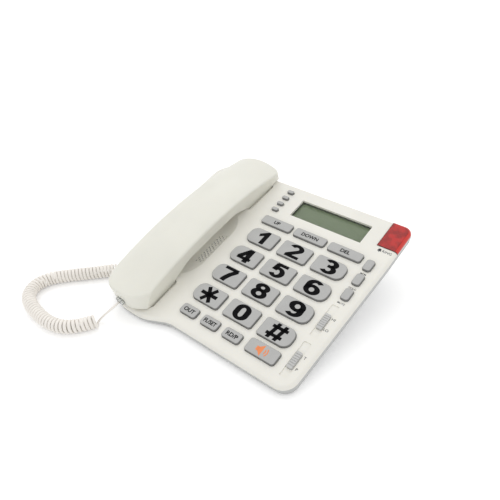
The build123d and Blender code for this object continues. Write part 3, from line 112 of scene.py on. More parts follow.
# Shader expressions
class Value:
    """A number that varies over a surface. Its arithmetic adds Math nodes."""

    def __init__(self, tree: Tree, socket: Socket) -> None:
        """Wraps an output socket of a tree."""
        self.tree = tree
        self.socket = socket

    def __add__(self, other: Number) -> Value:
        """self + other."""
        return self.tree.math("ADD", self, other)

    def __radd__(self, other: Number) -> Value:
        """other + self."""
        return self.tree.math("ADD", other, self)

    def __sub__(self, other: Number) -> Value:
        """self - other."""
        return self.tree.math("SUBTRACT", self, other)

    def __rsub__(self, other: Number) -> Value:
        """other - self."""
        return self.tree.math("SUBTRACT", other, self)

    def __mul__(self, other: Number) -> Value:
        """self * other."""
        return self.tree.math("MULTIPLY", self, other)

    def __rmul__(self, other: Number) -> Value:
        """other * self."""
        return self.tree.math("MULTIPLY", other, self)

    def wave(self) -> Value:
        """The sine of the value."""
        return self.tree.math("SINE", self)

    def size(self) -> Value:
        """The value without its sign."""
        return self.tree.math("ABSOLUTE", self)

    def step(self, low: float, high: float) -> Value:
        """Rises smoothly from 0 to 1.

        Args:
            low: Where the rise starts.
            high: Where it ends.

        Returns:
            The smoothed step.
        """
        inputs = {"Value": self, "From Min": low, "From Max": high}
        node = self.tree.node("ShaderNodeMapRange", {"interpolation_type": "SMOOTHSTEP"}, inputs)
        return Value(self.tree, node.outputs["Result"])


Number = Value | float


class Tree:
    """A node tree under construction."""

    def __init__(self, tree: bpy.types.NodeTree) -> None:
        """Takes over a tree and empties it."""
        self.tree = tree
        self.tree.nodes.clear()

    @staticmethod
    def _find(sockets: Iterable[Socket], key: str) -> Socket:
        """Finds a socket.

        Args:
            sockets: The sockets to look through.
            key: The socket's identifier, or else its name.

        Returns:
            The socket.
        """
        listed = list(sockets)
        for socket in listed:
            if socket.identifier == key:
                return socket
        return next(socket for socket in listed if socket.name == key)

    def node(self, kind: str, settings: dict | None = None, inputs: dict | None = None) -> bpy.types.Node:
        """Adds a node.

        Args:
            kind: The node's type.
            settings: Its properties, set first.
            inputs: Values or links for its sockets.

        Returns:
            The new node.
        """
        node = self.tree.nodes.new(kind)
        for name, value in (settings or {}).items():
            setattr(node, name, value)
        for name, value in (inputs or {}).items():
            self.feed(self._find(node.inputs, name), value)
        return node

    def feed(self, socket: Socket, value: object) -> None:
        """Sets a socket or links it.

        Args:
            socket: The socket.
            value: A number, a colour, or what is linked to it.
        """
        if isinstance(value, Value):
            value = value.socket
        if isinstance(value, Socket):
            self.tree.links.new(value, socket)
        elif isinstance(value, (tuple, list)) and len(value) == 3 and socket.type == "RGBA":
            socket.default_value = (*value, 1.0)
        else:
            socket.default_value = value

    def math(self, operation: str, *operands: Number) -> Value:
        """Adds one Math node.

        Args:
            operation: What it works out.
            operands: One or two numbers or values.

        Returns:
            Its result.
        """
        node = self.node("ShaderNodeMath", {"operation": operation})
        for socket, operand in zip(node.inputs, operands):
            self.feed(socket, operand)
        return Value(self, node.outputs[0])

    def seen(self) -> Value:
        """Tells what the camera sees, in reflections and through glass too.

        Returns:
            1 for what it sees, and 0 elsewhere.
        """
        paths = self.node("ShaderNodeLightPath")
        share = Value(self, paths.outputs["Is Camera Ray"])
        for kind in ("Is Glossy Ray", "Is Transmission Ray"):
            share = self.math("MAXIMUM", share, Value(self, paths.outputs[kind]))
        return share


@dataclass(frozen=True)
class Noise:
    """A cloudy noise of 0 to 1 over a surface, and what it does there.

    Attributes:
        pitch: Size of its clouds, in metres.
        detail: How many finer layers it has.
        strength: How strong those layers are.
        edge: Where in its range a patch begins and where it is full.
        share: How much a full patch covers.
        dulling: How much rougher the surface is at 1 than at 0.
    """

    pitch: float
    detail: float = 2.0
    strength: float = 0.5
    edge: Edge = (0.0, 1.0)
    share: float = 1.0
    dulling: float = 0.0


class Shader(Tree):
    """A material under construction, with one Principled surface."""

    def __init__(self, name: str) -> None:
        """Starts an empty material.

        Args:
            name: The material's name.
        """
        self.material = bpy.data.materials.new(name)
        self.material.use_nodes = True
        super().__init__(self.material.node_tree)
        self.surface = self.node("ShaderNodeBsdfPrincipled")
        self.node("ShaderNodeOutputMaterial", {}, {"Surface": self.surface.outputs["BSDF"]})

    def set(self, **values: object) -> None:
        """Sets sockets of the surface; an underscore in a name stands for a space."""
        for name, value in values.items():
            self.feed(self._find(self.surface.inputs, name.replace("_", " ")), value)

    def place(self) -> Socket:
        """The surface's place in the frame, in metres."""
        return self.node("ShaderNodeTexCoord").outputs["Object"]

    def reach(self, vector: Socket, axis: Sequence[float]) -> Value:
        """How far a vector reaches along an axis of the frame.

        Args:
            vector: A vector's socket.
            axis: The axis, one metre long.

        Returns:
            The reach.
        """
        inputs = {"Vector": vector, "Vector_001": tuple(axis)}
        dot = self.node("ShaderNodeVectorMath", {"operation": "DOT_PRODUCT"}, inputs)
        return Value(self, dot.outputs["Value"])

    def facing(self, axis: Sequence[float]) -> Value:
        """How far the surface faces along an axis, from -1 to 1."""
        return self.reach(self.node("ShaderNodeTexCoord").outputs["Normal"], axis)

    def along(self, axis: Sequence[float]) -> Value:
        """The surface's place measured along an axis, in metres."""
        return self.reach(self.place(), axis)

    def flank(self, out: Sequence[float], height: float) -> Value:
        """1 on steep surfaces that lie lower than a height along an axis, and 0 elsewhere."""
        low = (height - self.along(out)).step(-FLANK_EDGE, FLANK_EDGE)
        return low * (1.0 - self.facing(out).size().step(*STEEP))

    def noise(self, noise: Noise) -> Value:
        """Lays a noise on the surface.

        Args:
            noise: The noise.

        Returns:
            Its value at each place, from 0 to 1.
        """
        inputs = {
            "Vector": self.place(), "Scale": 1 / noise.pitch,
            "Detail": noise.detail, "Roughness": noise.strength,
        }
        return Value(self, self.node("ShaderNodeTexNoise", {}, inputs).outputs["Fac"])

    def cells(self, pitch: float) -> Value:
        """Distance to the middle of small cells, from 0 at their middles."""
        node = self.node("ShaderNodeTexVoronoi", {}, {"Vector": self.place(), "Scale": 1 / pitch})
        return Value(self, node.outputs["Distance"])

    def mix(self, share: Number, first: object, second: object) -> Socket:
        """Mixes two colours.

        Args:
            share: 0 for the first colour, 1 for the second.
            first: A colour or a link.
            second: A colour or a link.

        Returns:
            The mixed colour.
        """
        inputs = {"Factor_Float": share, "A_Color": first, "B_Color": second}
        node = self.node("ShaderNodeMix", {"data_type": "RGBA"}, inputs)
        return self._find(node.outputs, "Result_Color")

    def relief(self, height: Value, depth: float) -> None:
        """Gives the surface a relief from a height of 0 to 1 and its depth in metres."""
        bump = self.node("ShaderNodeBump", {}, {"Strength": 1.0, "Distance": depth, "Height": height})
        self.set(Normal=bump.outputs["Normal"])


def shade(colour: Colour, factor: float) -> Colour:
    """A darker or lighter copy of a colour."""
    return tuple(min(1.0, level * factor) for level in colour)


# Finishes
@dataclass(frozen=True)
class Finish:
    """A finish of one or more nodes."""

    def material(self, name: str) -> Material:
        """Builds the finish.

        Args:
            name: The material's name.

        Returns:
            The material.
        """
        shader = Shader(name)
        self.paint(shader)
        return shader.material

    def paint(self, shader: Shader) -> None:
        """Paints the finish. Each kind does it in its own way."""
        raise NotImplementedError


@dataclass(frozen=True)
class MouldedPlastic(Finish):
    """Plastic with the fine grain that its mould was etched with.

    Attributes:
        colour: Its colour.
        roughness: Least roughness.
        depth: Depth of the grain, in metres.
        scatter: Share of the light that goes into it.
        skirt: Colour of the flanks below a height, if they get one; on the shell it is the lower shell's
            grey, standing partly for the lower shell and partly for painted shade under the rim.
        skirt_out: Axis along which that height is measured.
        skirt_height: The height, in metres.
        mottle: How much darker its cloudy places are.
        grain: The etched grain.
        cloud: Its cloudy places.
        ior: Index of refraction.
    """

    colour: Colour
    roughness: float
    depth: float = 0.012 * MM
    scatter: float = 0.0
    skirt: Colour | None = None
    skirt_out: Axis = (0.0, 0.0, 1.0)
    skirt_height: float = 0.0
    mottle: float = 0.035
    grain: Noise = Noise(0.45 * MM, 1.5, 0.7, edge=(0.55, 0.8), share=0.25, dulling=0.14)
    cloud: Noise = Noise(38 * MM, 3.0, edge=(0.3, 0.7), dulling=0.06)
    ior: float = 1.46

    def paint(self, shader: Shader) -> None:
        """Paints the finish.

        Args:
            shader: The material that it is painted on.
        """
        clouds = shader.noise(self.cloud)
        grain = shader.noise(self.grain)
        once, twice = (shade(self.colour, 1 - times * self.mottle) for times in (1, 2))
        tint = shader.mix(clouds.step(*self.cloud.edge), self.colour, once)
        speck = shader.mix(grain.step(*self.grain.edge) * self.grain.share, tint, twice)
        # Below a height the steep flanks take the skirt colour, partly as painted shade under the rim.
        if self.skirt:
            speck = shader.mix(shader.flank(self.skirt_out, self.skirt_height), speck, self.skirt)
        shader.set(Base_Color=speck, IOR=self.ior)
        shader.set(Roughness=grain * self.grain.dulling + clouds * self.cloud.dulling + self.roughness)
        if self.scatter:
            shader.set(Subsurface_Weight=self.scatter, Subsurface_Radius=SCATTER_SPREAD)
            shader.set(Subsurface_Scale=SCATTER_DEPTH)
        shader.relief(grain, self.depth)


@dataclass(frozen=True)
class KeyPlastic(Finish):
    """Grey key plastic: a speckled top face, and sides painted a darker grey as shade.

    Attributes:
        top: Colour of the top face.
        side: Colour of the sides, painted darker than the top as shade.
        normal: Axis that the top faces along.
        roughness: Least roughness.
        depth: Depth of the specks, in metres.
        light_speck: Tone at a speck's middle.
        dark_speck: Tone between the specks.
        worn: Tone of its worn places.
        flat: How far a face has to look along the normal to count as the top.
        speck: The specks, laid as small cells.
        cloud: The worn places.
        ior: Index of refraction.
    """

    top: Colour
    side: Colour
    normal: Axis
    roughness: float = 0.36
    depth: float = 0.02 * MM
    light_speck: float = 1.10
    dark_speck: float = 0.90
    worn: float = 0.94
    flat: Edge = (0.80, 0.97)
    speck: Noise = Noise(0.55 * MM, edge=(0.15, 0.65), share=0.5, dulling=0.10)
    cloud: Noise = Noise(9 * MM, edge=(0.35, 0.7), share=0.35, dulling=0.08)
    ior: float = 1.47

    def paint(self, shader: Shader) -> None:
        """Paints the finish.

        Args:
            shader: The material that it is painted on.
        """
        speck = shader.cells(self.speck.pitch)
        clouds = shader.noise(self.cloud)
        flat = shader.facing(self.normal).step(*self.flat)
        light, dark, worn = (shade(self.top, tone) for tone in (self.light_speck, self.dark_speck, self.worn))
        dotted = shader.mix(speck.step(*self.speck.edge) * self.speck.share, light, dark)
        face = shader.mix(clouds.step(*self.cloud.edge) * self.cloud.share, dotted, worn)
        # Painted shade: the sides take the darker side colour, the top face its speckled grey.
        shader.set(Base_Color=shader.mix(flat, self.side, face), IOR=self.ior)
        shader.set(Roughness=speck * self.speck.dulling + clouds * self.cloud.dulling + self.roughness)
        shader.relief(speck * flat, self.depth)


@dataclass(frozen=True)
class PrintedInk(Finish):
    """Screen-printed ink, a little uneven.

    Attributes:
        colour: Its colour.
        roughness: Least roughness.
        depth: How uneven its surface is, in metres.
        shine: Strength of its reflection.
        thinning: How much paler it is where it lies thin.
        cover: Where it lies thin.
    """

    colour: Colour
    roughness: float = 0.44
    depth: float = 0.006 * MM
    shine: float = 0.05
    thinning: float = 0.006
    cover: Noise = Noise(0.9 * MM, 3.0, 0.6, edge=(0.55, 0.85), share=0.5, dulling=0.12)

    def paint(self, shader: Shader) -> None:
        """Paints the finish.

        Args:
            shader: The material that it is painted on.
        """
        cover = shader.noise(self.cover)
        thin = tuple(level + self.thinning for level in self.colour)
        shader.set(Base_Color=shader.mix(cover.step(*self.cover.edge) * self.cover.share, self.colour, thin))
        shader.set(Roughness=cover * self.cover.dulling + self.roughness, Specular_IOR_Level=self.shine)
        shader.relief(cover, self.depth)


@dataclass(frozen=True)
class LampPlastic(Finish):
    """Clear red plastic over a reflector of small prisms, with a painted highlight on its sides and painted
    shadow along its left side and front.

    Attributes:
        colour: Colour of its middle.
        edge: Colour of its sides, a painted highlight brighter than its middle, which also tints the prisms.
        across: Axis across the panel.
        up: Axis up the panel.
        out: Axis out of the panel.
        corner: Its left and front limits on those axes, in metres.
        skirt: Colour of its flanks below a height: the lower shell's grey, standing partly for the lower
            shell and partly for painted shade.
        skirt_height: The height, in metres.
        roughness: Least roughness.
        depth: Depth of its relief, in metres.
        pitch: Distance between prisms.
        prism_edge: Where a prism begins and is full, in the range of its waves.
        prism_share: How strongly the prisms show.
        prism_relief: Their share of the relief.
        blot: Darker and lighter blots of the plastic.
        flat: How far a face has to look out of the panel to count as the top.
        side_lip: Where the painted shadow of the gap along its left side ends.
        front_lip: Where the painted shadow of the gap along its front ends.
        dark_blot: Tone of a dark blot.
        light_blot: Tone of a light blot.
        lip_tone: Tone of the painted shadow of the gap.
        shine: Strength of its reflection.
        ior: Index of refraction.
    """

    colour: Colour
    edge: Colour
    across: Axis
    up: Axis
    out: Axis
    corner: tuple[float, float]
    skirt: Colour
    skirt_height: float
    roughness: float = 0.16
    depth: float = 0.02 * MM
    pitch: float = 3.2 * MM
    prism_edge: Edge = (-0.8, 0.9)
    prism_share: float = 0.10
    prism_relief: float = 0.3
    blot: Noise = Noise(8 * MM, 1.5, edge=(0.35, 0.65), dulling=0.10)
    flat: Edge = (0.90, 0.99)
    side_lip: Edge = (0.3 * MM, 1.0 * MM)
    front_lip: Edge = (0.2 * MM, 0.8 * MM)
    dark_blot: float = 0.70
    light_blot: float = 1.20
    lip_tone: float = 0.30
    shine: float = 0.4
    ior: float = 1.45

    def paint(self, shader: Shader) -> None:
        """Paints the finish.

        Args:
            shader: The material that it is painted on.
        """
        turn = 2 * math.pi / self.pitch
        across = shader.along(self.across)
        up = shader.along(self.up)
        prisms = ((across * turn).wave() * (up * turn).wave()).step(*self.prism_edge)
        blots = shader.noise(self.blot)
        flat = shader.facing(self.out).step(*self.flat)
        # Painted shadow of the gap: inner is 0 along the lens's left side and front, and 1 elsewhere.
        inner = (across - self.corner[0]).step(*self.side_lip) * (up - self.corner[1]).step(*self.front_lip)
        tones = (self.dark_blot, self.light_blot, self.lip_tone)
        dark, light, gap_shade = (shade(self.colour, tone) for tone in tones)
        deep = shader.mix(blots.step(*self.blot.edge), dark, light)
        lively = shader.mix(prisms * self.prism_share, deep, self.edge)
        # Painted highlight on the sides in the edge colour, and painted shadow of the gap along the left side
        # and front.
        lens = shader.mix(inner, gap_shade, shader.mix(flat, self.edge, lively))
        # Below a height the flanks take the lower shell's grey, partly as painted shade.
        shader.set(Base_Color=shader.mix(shader.flank(self.out, self.skirt_height), lens, self.skirt))
        shader.set(Roughness=blots * self.blot.dulling + self.roughness, IOR=self.ior)
        shader.set(Specular_IOR_Level=self.shine)
        shader.relief(prisms * self.prism_relief + blots * (1 - self.prism_relief), self.depth)


@dataclass(frozen=True)
class DisplayLayer(Finish):
    """Green liquid crystal layer with its rows of faint cells, and painted shadow of its recess along its
    left and rear edges.

    Attributes:
        light: Colour at its back.
        dark: Colour at its front.
        across: Axis across the panel.
        up: Axis up the panel.
        back: Its rear limit, in metres.
        front: Its front limit, in metres.
        frame: Where the painted shadow of the recess ends at the left and at the rear, in metres.
        roughness: Least roughness.
        frame_edge: How softly that painted shadow ends at the left and at the rear.
        frame_tone: Tone of that painted shadow.
        cell: Distance between cells.
        cell_edge: Where a cell begins and is full, in the range of its waves.
        cell_share: How strongly the cells show.
        cell_tone: Tone of a cell.
        film: Unevenness of the film over it.
        ior: Index of refraction.
    """

    light: Colour
    dark: Colour
    across: Axis
    up: Axis
    back: float
    front: float
    frame: tuple[float, float]
    roughness: float = 0.30
    frame_edge: Edge = (0.9 * MM, 1.0 * MM)
    frame_tone: float = 0.25
    cell: float = 0.8 * MM
    cell_edge: Edge = (0.2, 0.9)
    cell_share: float = 0.06
    cell_tone: float = 0.6
    film: Noise = Noise(14 * MM, share=0.3, dulling=0.06)
    ior: float = 1.5

    def paint(self, shader: Shader) -> None:
        """Paints the finish.

        Args:
            shader: The material that it is painted on.
        """
        height = shader.along(self.up)
        # Painted shadow of the recess along the left and rear edges.
        left = 1.0 - (shader.along(self.across) - self.frame[0]).step(0.0, self.frame_edge[0])
        rear = (height - self.frame[1]).step(-self.frame_edge[1], 0.0)
        recess_shadow = shader.math("MAXIMUM", left, rear)
        fade = height.step(self.front, self.back)
        turn = 2 * math.pi / self.cell
        grid = (shader.along(self.across) * turn).wave() * (height * turn).wave()
        film = shader.noise(self.film)
        ground = shader.mix(fade * (1 - self.film.share) + film * self.film.share, self.dark, self.light)
        # frame here is the tone of the painted shadow of the recess.
        cell, frame = (shade(self.dark, tone) for tone in (self.cell_tone, self.frame_tone))
        cells = shader.mix(grid.step(*self.cell_edge) * self.cell_share, ground, cell)
        shader.set(Base_Color=shader.mix(recess_shadow, cells, frame))
        shader.set(Roughness=film * self.film.dulling + self.roughness, IOR=self.ior)


@dataclass(frozen=True)
class ClearPlastic(Finish):
    """Clear moulded plastic, of a window or a plug.

    Attributes:
        colour: Its colour.
        roughness: Least roughness.
        clearness: Share of the light that passes through its body.
        cover: How much it hides of what lies behind it.
        smear: Smears on it.
        smeared: Tone of a smear.
        ior: Index of refraction.
    """

    colour: Colour
    roughness: float = 0.04
    clearness: float = 0.6
    cover: float = 1.0
    smear: Noise = Noise(11 * MM, share=0.25, dulling=0.05)
    smeared: float = 0.96
    ior: float = 1.47

    def paint(self, shader: Shader) -> None:
        """Paints the finish.

        Args:
            shader: The material that it is painted on.
        """
        smear = shader.noise(self.smear)
        smeared = shade(self.colour, self.smeared)
        shader.set(Base_Color=shader.mix(smear * self.smear.share, self.colour, smeared))
        shader.set(Roughness=smear * self.smear.dulling + self.roughness, IOR=self.ior)
        shader.set(Transmission_Weight=self.clearness, Alpha=self.cover)


@dataclass(frozen=True)
class Rubber(Finish):
    """Soft rubber or silicone with a dull skin.

    Attributes:
        colour: Its colour.
        roughness: Least roughness.
        depth: Depth of its skin's relief, in metres.
        skin: The fine relief of its skin.
        cloud: Its cloudy places.
        cloudy: Tone of a cloudy place.
        worn: Tone where its skin is worn.
        ior: Index of refraction.
    """

    colour: Colour
    roughness: float
    depth: float = 0.01 * MM
    skin: Noise = Noise(0.7 * MM, 3.0, 0.65, edge=(0.5, 0.8), share=0.2, dulling=0.12)
    cloud: Noise = Noise(16 * MM, edge=(0.35, 0.7), share=0.6)
    cloudy: float = 0.93
    worn: float = 0.85
    ior: float = 1.48

    def paint(self, shader: Shader) -> None:
        """Paints the finish.

        Args:
            shader: The material that it is painted on.
        """
        skin = shader.noise(self.skin)
        clouds = shader.noise(self.cloud)
        cloudy, worn = (shade(self.colour, tone) for tone in (self.cloudy, self.worn))
        tint = shader.mix(clouds.step(*self.cloud.edge) * self.cloud.share, self.colour, cloudy)
        shader.set(Base_Color=shader.mix(skin.step(*self.skin.edge) * self.skin.share, tint, worn))
        shader.set(Roughness=skin * self.skin.dulling + self.roughness, IOR=self.ior)
        shader.relief(skin, self.depth)


@dataclass(frozen=True)
class Metal(Finish):
    """Plated or rolled metal.

    Attributes:
        colour: Its colour.
        roughness: Least roughness.
        depth: Depth of the rolled grain, in metres.
        rolled: The rolled grain.
        stain: Its stains.
        stained: Tone of a stain.
    """

    colour: Colour
    roughness: float = 0.24
    depth: float = 0.006 * MM
    rolled: Noise = Noise(0.6 * MM, 4.0, 0.6, dulling=0.16)
    stain: Noise = Noise(7 * MM, 3.0, edge=(0.4, 0.8), share=0.4)
    stained: float = 0.72

    def paint(self, shader: Shader) -> None:
        """Paints the finish.

        Args:
            shader: The material that it is painted on.
        """
        rolled = shader.noise(self.rolled)
        stain = shader.noise(self.stain).step(*self.stain.edge) * self.stain.share
        shader.set(Base_Color=shader.mix(stain, self.colour, shade(self.colour, self.stained)))
        shader.set(Roughness=rolled * self.rolled.dulling + self.roughness, Metallic=1.0)
        shader.relief(rolled, self.depth)


@dataclass(frozen=True)
class BoardLacquer(Finish):
    """Green solder lacquer over copper tracks.

    Attributes:
        colour: Colour of the lacquer.
        track: Colour of the lacquer over a track.
        roughness: Roughness beside the tracks.
        depth: Height of the tracks, in metres.
        across: Axis across the tracks.
        pitch: Distance between tracks.
        lane_edge: Where a track begins and ends.
        region: Where on the board there are tracks.
        polish: How much smoother a track is.
        coat: Strength of the lacquer's own reflection.
    """

    colour: Colour
    track: Colour
    roughness: float = 0.34
    depth: float = 0.02 * MM
    across: Axis = (1.0, 0.0, 0.0)
    pitch: float = 2.6 * MM
    lane_edge: Edge = (0.35, 0.45)
    region: Noise = Noise(12 * MM, 1.0, edge=(0.48, 0.52))
    polish: float = 0.08
    coat: float = 0.3

    def paint(self, shader: Shader) -> None:
        """Paints the finish.

        Args:
            shader: The material that it is painted on.
        """
        lanes = (shader.along(self.across) * (2 * math.pi / self.pitch)).wave()
        region = shader.noise(self.region).step(*self.region.edge)
        tracks = lanes.step(*self.lane_edge) * region
        shader.set(Base_Color=shader.mix(tracks, self.colour, self.track))
        shader.set(Roughness=self.roughness - tracks * self.polish, Coat_Weight=self.coat)
        shader.relief(tracks, self.depth)


@dataclass(frozen=True)
class FloorWhite(Finish):
    """The floor's white, lifted a little in the camera's sight so that it runs into the backdrop.

    Attributes:
        lift: How much light it adds there.
        cloud: Its cloudy places.
        dark: Colour of the darker places.
        light: Colour of the lighter places.
        roughness: Roughness.
    """

    lift: float = 0.22
    cloud: Noise = Noise(0.9, 1.0)
    dark: Colour = (0.95, 0.95, 0.95)
    light: Colour = (0.96, 0.96, 0.96)
    roughness: float = 0.9

    def paint(self, shader: Shader) -> None:
        """Paints the finish.

        Args:
            shader: The material that it is painted on.
        """
        clouds = shader.noise(self.cloud)
        seen = shader.mix(shader.seen(), BLACK, WHITE)
        shader.set(Base_Color=shader.mix(clouds, self.dark, self.light))
        shader.set(Roughness=self.roughness, Specular_IOR_Level=0.0)
        shader.set(Emission_Color=seen, Emission_Strength=self.lift)


# Places
@dataclass(frozen=True)
class Span:
    """Limits of a node on the panel's three axes, in metres.

    Attributes:
        low: The least place on each axis.
        high: The greatest place on each axis.
    """

    low: Vector
    high: Vector

    @property
    def middle(self) -> Vector:
        """The middle of the limits."""
        return (self.low + self.high) / 2


def limits(points: Iterable[Vector]) -> tuple[Vector, Vector]:
    """The least and the greatest of some places on each axis."""
    listed = list(points)
    return tuple(Vector(pick(point[axis] for point in listed) for axis in range(3)) for pick in (min, max))


class Panel:
    """The sloping panel: x runs across it, v up its slope and n out of it."""

    def __init__(self, frame: dict) -> None:
        """Finds the panel's slope from the axis that the handset is lifted along.

        Args:
            frame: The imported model, with its joints and nodes.
        """
        lift = next(joint for joint in frame["joints"] if joint["name"] == "handset_lift")
        self.nodes = frame["nodes"]
        self.out = Vector(lift["axis"]).normalized()
        self.across = Vector((1.0, 0.0, 0.0))
        self.along = self.out.cross(self.across).normalized()
        self.turn = Matrix((self.across, self.along, self.out)).transposed()
        self.level = 0.0  # heights count from the frame's origin until the upper shell is measured
        self.level = self.span("top_shell").high.z

    def measure(self, points: Iterable[Vector]) -> Span:
        """Limits of some places on the panel's axes.

        Args:
            points: The places, in the frame.

        Returns:
            The limits, with heights counted from the panel's surface.
        """
        back = self.turn.transposed()
        low, high = limits(back @ point for point in points)
        low.z -= self.level
        high.z -= self.level
        return Span(low, high)

    def span(self, node: str) -> Span:
        """Limits of a frame node on the panel's axes."""
        return self.measure(vertex.co for vertex in self.nodes[node].data.vertices)

    def matrix(self, x: float, v: float, n: float) -> Matrix:
        """The transform that lays a drawing on the panel, at height n above it."""
        return Matrix.Translation(self.turn @ Vector((x, v, n + self.level))) @ self.turn.to_4x4()


# Mesh helpers
def put(name: str, data: bpy.types.ID) -> bpy.types.Object:
    """Puts an object into the scene.

    Args:
        name: Its name.
        data: Its mesh, curve, camera or lamp.

    Returns:
        The object.
    """
    thing = bpy.data.objects.new(name, data)
    bpy.context.scene.collection.objects.link(thing)
    return thing


def meshed(curve: bpy.types.Curve) -> Mesh:
    """Turns a curve or a text into a mesh and removes it.

    Args:
        curve: The curve or text.

    Returns:
        The mesh.
    """
    carrier = put(curve.name, curve)
    bpy.context.view_layer.update()
    mesh = bpy.data.meshes.new_from_object(carrier.evaluated_get(bpy.context.evaluated_depsgraph_get()))
    bpy.data.objects.remove(carrier)
    bpy.data.curves.remove(curve)
    return mesh


def add_piece(name: str, mesh: Mesh, material: Material, body: str) -> None:
    """Puts a mesh into the scene as a piece of the telephone.

    Args:
        name: The piece's name.
        mesh: Its mesh, in the frame.
        material: Its finish.
        body: The body that it rides on.
    """
    piece = put(name, mesh)
    mesh.materials.append(material)
    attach(piece, body)
    LOG.info("%s rides on %s", name, body)


def dress(node: bpy.types.Object, material: Material) -> None:
    """Gives a frame node its finish."""
    node.data.materials.clear()
    node.data.materials.append(material)


def prism(mesh: bmesh.types.BMesh, outline: Outline, low: float, high: float) -> None:
    """Adds an upright prism over an outline.

    Args:
        mesh: The mesh that it is added to.
        outline: The outline's corners, anticlockwise.
        low: Height of its lower face.
        high: Height of its upper face.
    """
    lower = [mesh.verts.new((x, y, low)) for x, y in outline]
    upper = [mesh.verts.new((x, y, high)) for x, y in outline]
    mesh.faces.new(list(reversed(lower)))
    mesh.faces.new(upper)
    for index in range(len(outline)):
        after = (index + 1) % len(outline)
        mesh.faces.new((lower[index], lower[after], upper[after], upper[index]))


def drawn(outlines: Sequence[Outline], thickness: float, place: Matrix) -> Mesh:
    """A flat print made of closed outlines.

    Args:
        outlines: Its outlines, each anticlockwise.
        thickness: How thick the ink lies.
        place: The transform that lays it down.

    Returns:
        The mesh.
    """
    mesh = bmesh.new()
    for outline in outlines:
        prism(mesh, outline, 0.0, thickness)
    mesh.transform(place)
    data = bpy.data.meshes.new("print")
    mesh.to_mesh(data)
    mesh.free()
    return data


def bar(x: float, y: float, width: float, height: float, turn: float = 0.0, lean: float = 0.0) -> Outline:
    """A bar about a middle point.

    Args:
        x: Middle across.
        y: Middle up.
        width: Width of the bar.
        height: Its height.
        turn: How far it is turned, in degrees.
        lean: How far its top is pushed to the right.

    Returns:
        Its outline.
    """
    sine, cosine = math.sin(math.radians(turn)), math.cos(math.radians(turn))
    outline = []
    for right, rise in ((-0.5, -0.5), (0.5, -0.5), (0.5, 0.5), (-0.5, 0.5)):
        a = right * width + rise * lean
        b = rise * height
        outline.append((x + a * cosine - b * sine, y + a * sine + b * cosine))
    return outline


def arc(x: float, y: float, across: float, up: float, start: float, end: float, steps: int = 18) -> Outline:
    """Places along an elliptic arc, with its middle, its two radii and its end angles in degrees."""
    angles = [math.radians(start + (end - start) * step / steps) for step in range(steps + 1)]
    return [(x + across * math.cos(a), y + up * math.sin(a)) for a in angles]


def arc_band(radius: float, width: float, start: float, end: float) -> Outline:
    """A band along an arc about the sign's middle.

    Args:
        radius: Radius of the band's middle line.
        width: Width of the band.
        start: First angle, in degrees.
        end: Last angle, in degrees.

    Returns:
        Its outline.
    """
    radii = (radius + width / 2, radius - width / 2)
    outer, inner = (arc(0, 0, reach, reach, start, end, BAND_STEPS) for reach in radii)
    return outer + list(reversed(inner))


def lettering(
    text: str, height: float, width_factor: float, weight: float, thickness: float
) -> Mesh:
    """Letters or digits as a mesh about their own middle.

    Args:
        text: What they say.
        height: Height of a capital letter.
        width_factor: How much wider than usual they are.
        weight: How far their outlines are pushed out, as a share of their height.
        thickness: How thick the ink lies.

    Returns:
        The mesh, lying flat.
    """
    curve = bpy.data.curves.new("letters", "FONT")
    curve.body = text
    curve.offset = weight
    curve.extrude = FONT_EXTRUSION
    curve.resolution_u = FONT_STEPS
    mesh = meshed(curve)
    low, high = limits(vertex.co for vertex in mesh.vertices)
    scale = height / (high.y - low.y)
    shift = Matrix.Translation((-(low.x + high.x) / 2, -(low.y + high.y) / 2, -low.z))
    flat = thickness / (high.z - low.z)
    mesh.transform(Matrix.Diagonal((scale * width_factor, scale, flat, 1.0)) @ shift)
    return mesh


# Digits
def ring(x: float, y: float, across: float, up: float) -> list[Outline]:
    """The two halves of an elliptic ring, whose ends overlap."""
    return [arc(x, y, across, up, start - RING_OVERLAP, start + 180 + RING_OVERLAP) for start in (-90, 90)]


def stroke(path: Outline, pen: tuple[float, float]) -> Outline:
    """Outline of a pen stroke.

    Args:
        path: The places that the pen passes.
        pen: Width of an upright and of a level stroke.

    Returns:
        The outline, anticlockwise.
    """
    left, right = [], []
    for index, (x, y) in enumerate(path):
        before, beyond = path[max(index - 1, 0)], path[min(index + 1, len(path) - 1)]
        way = Vector((beyond[0] - before[0], beyond[1] - before[1])).normalized()
        across, up = -way.y * pen[0] / 2, way.x * pen[1] / 2
        left.append((x + across, y + up))
        right.append((x - across, y - up))
    return right + list(reversed(left))


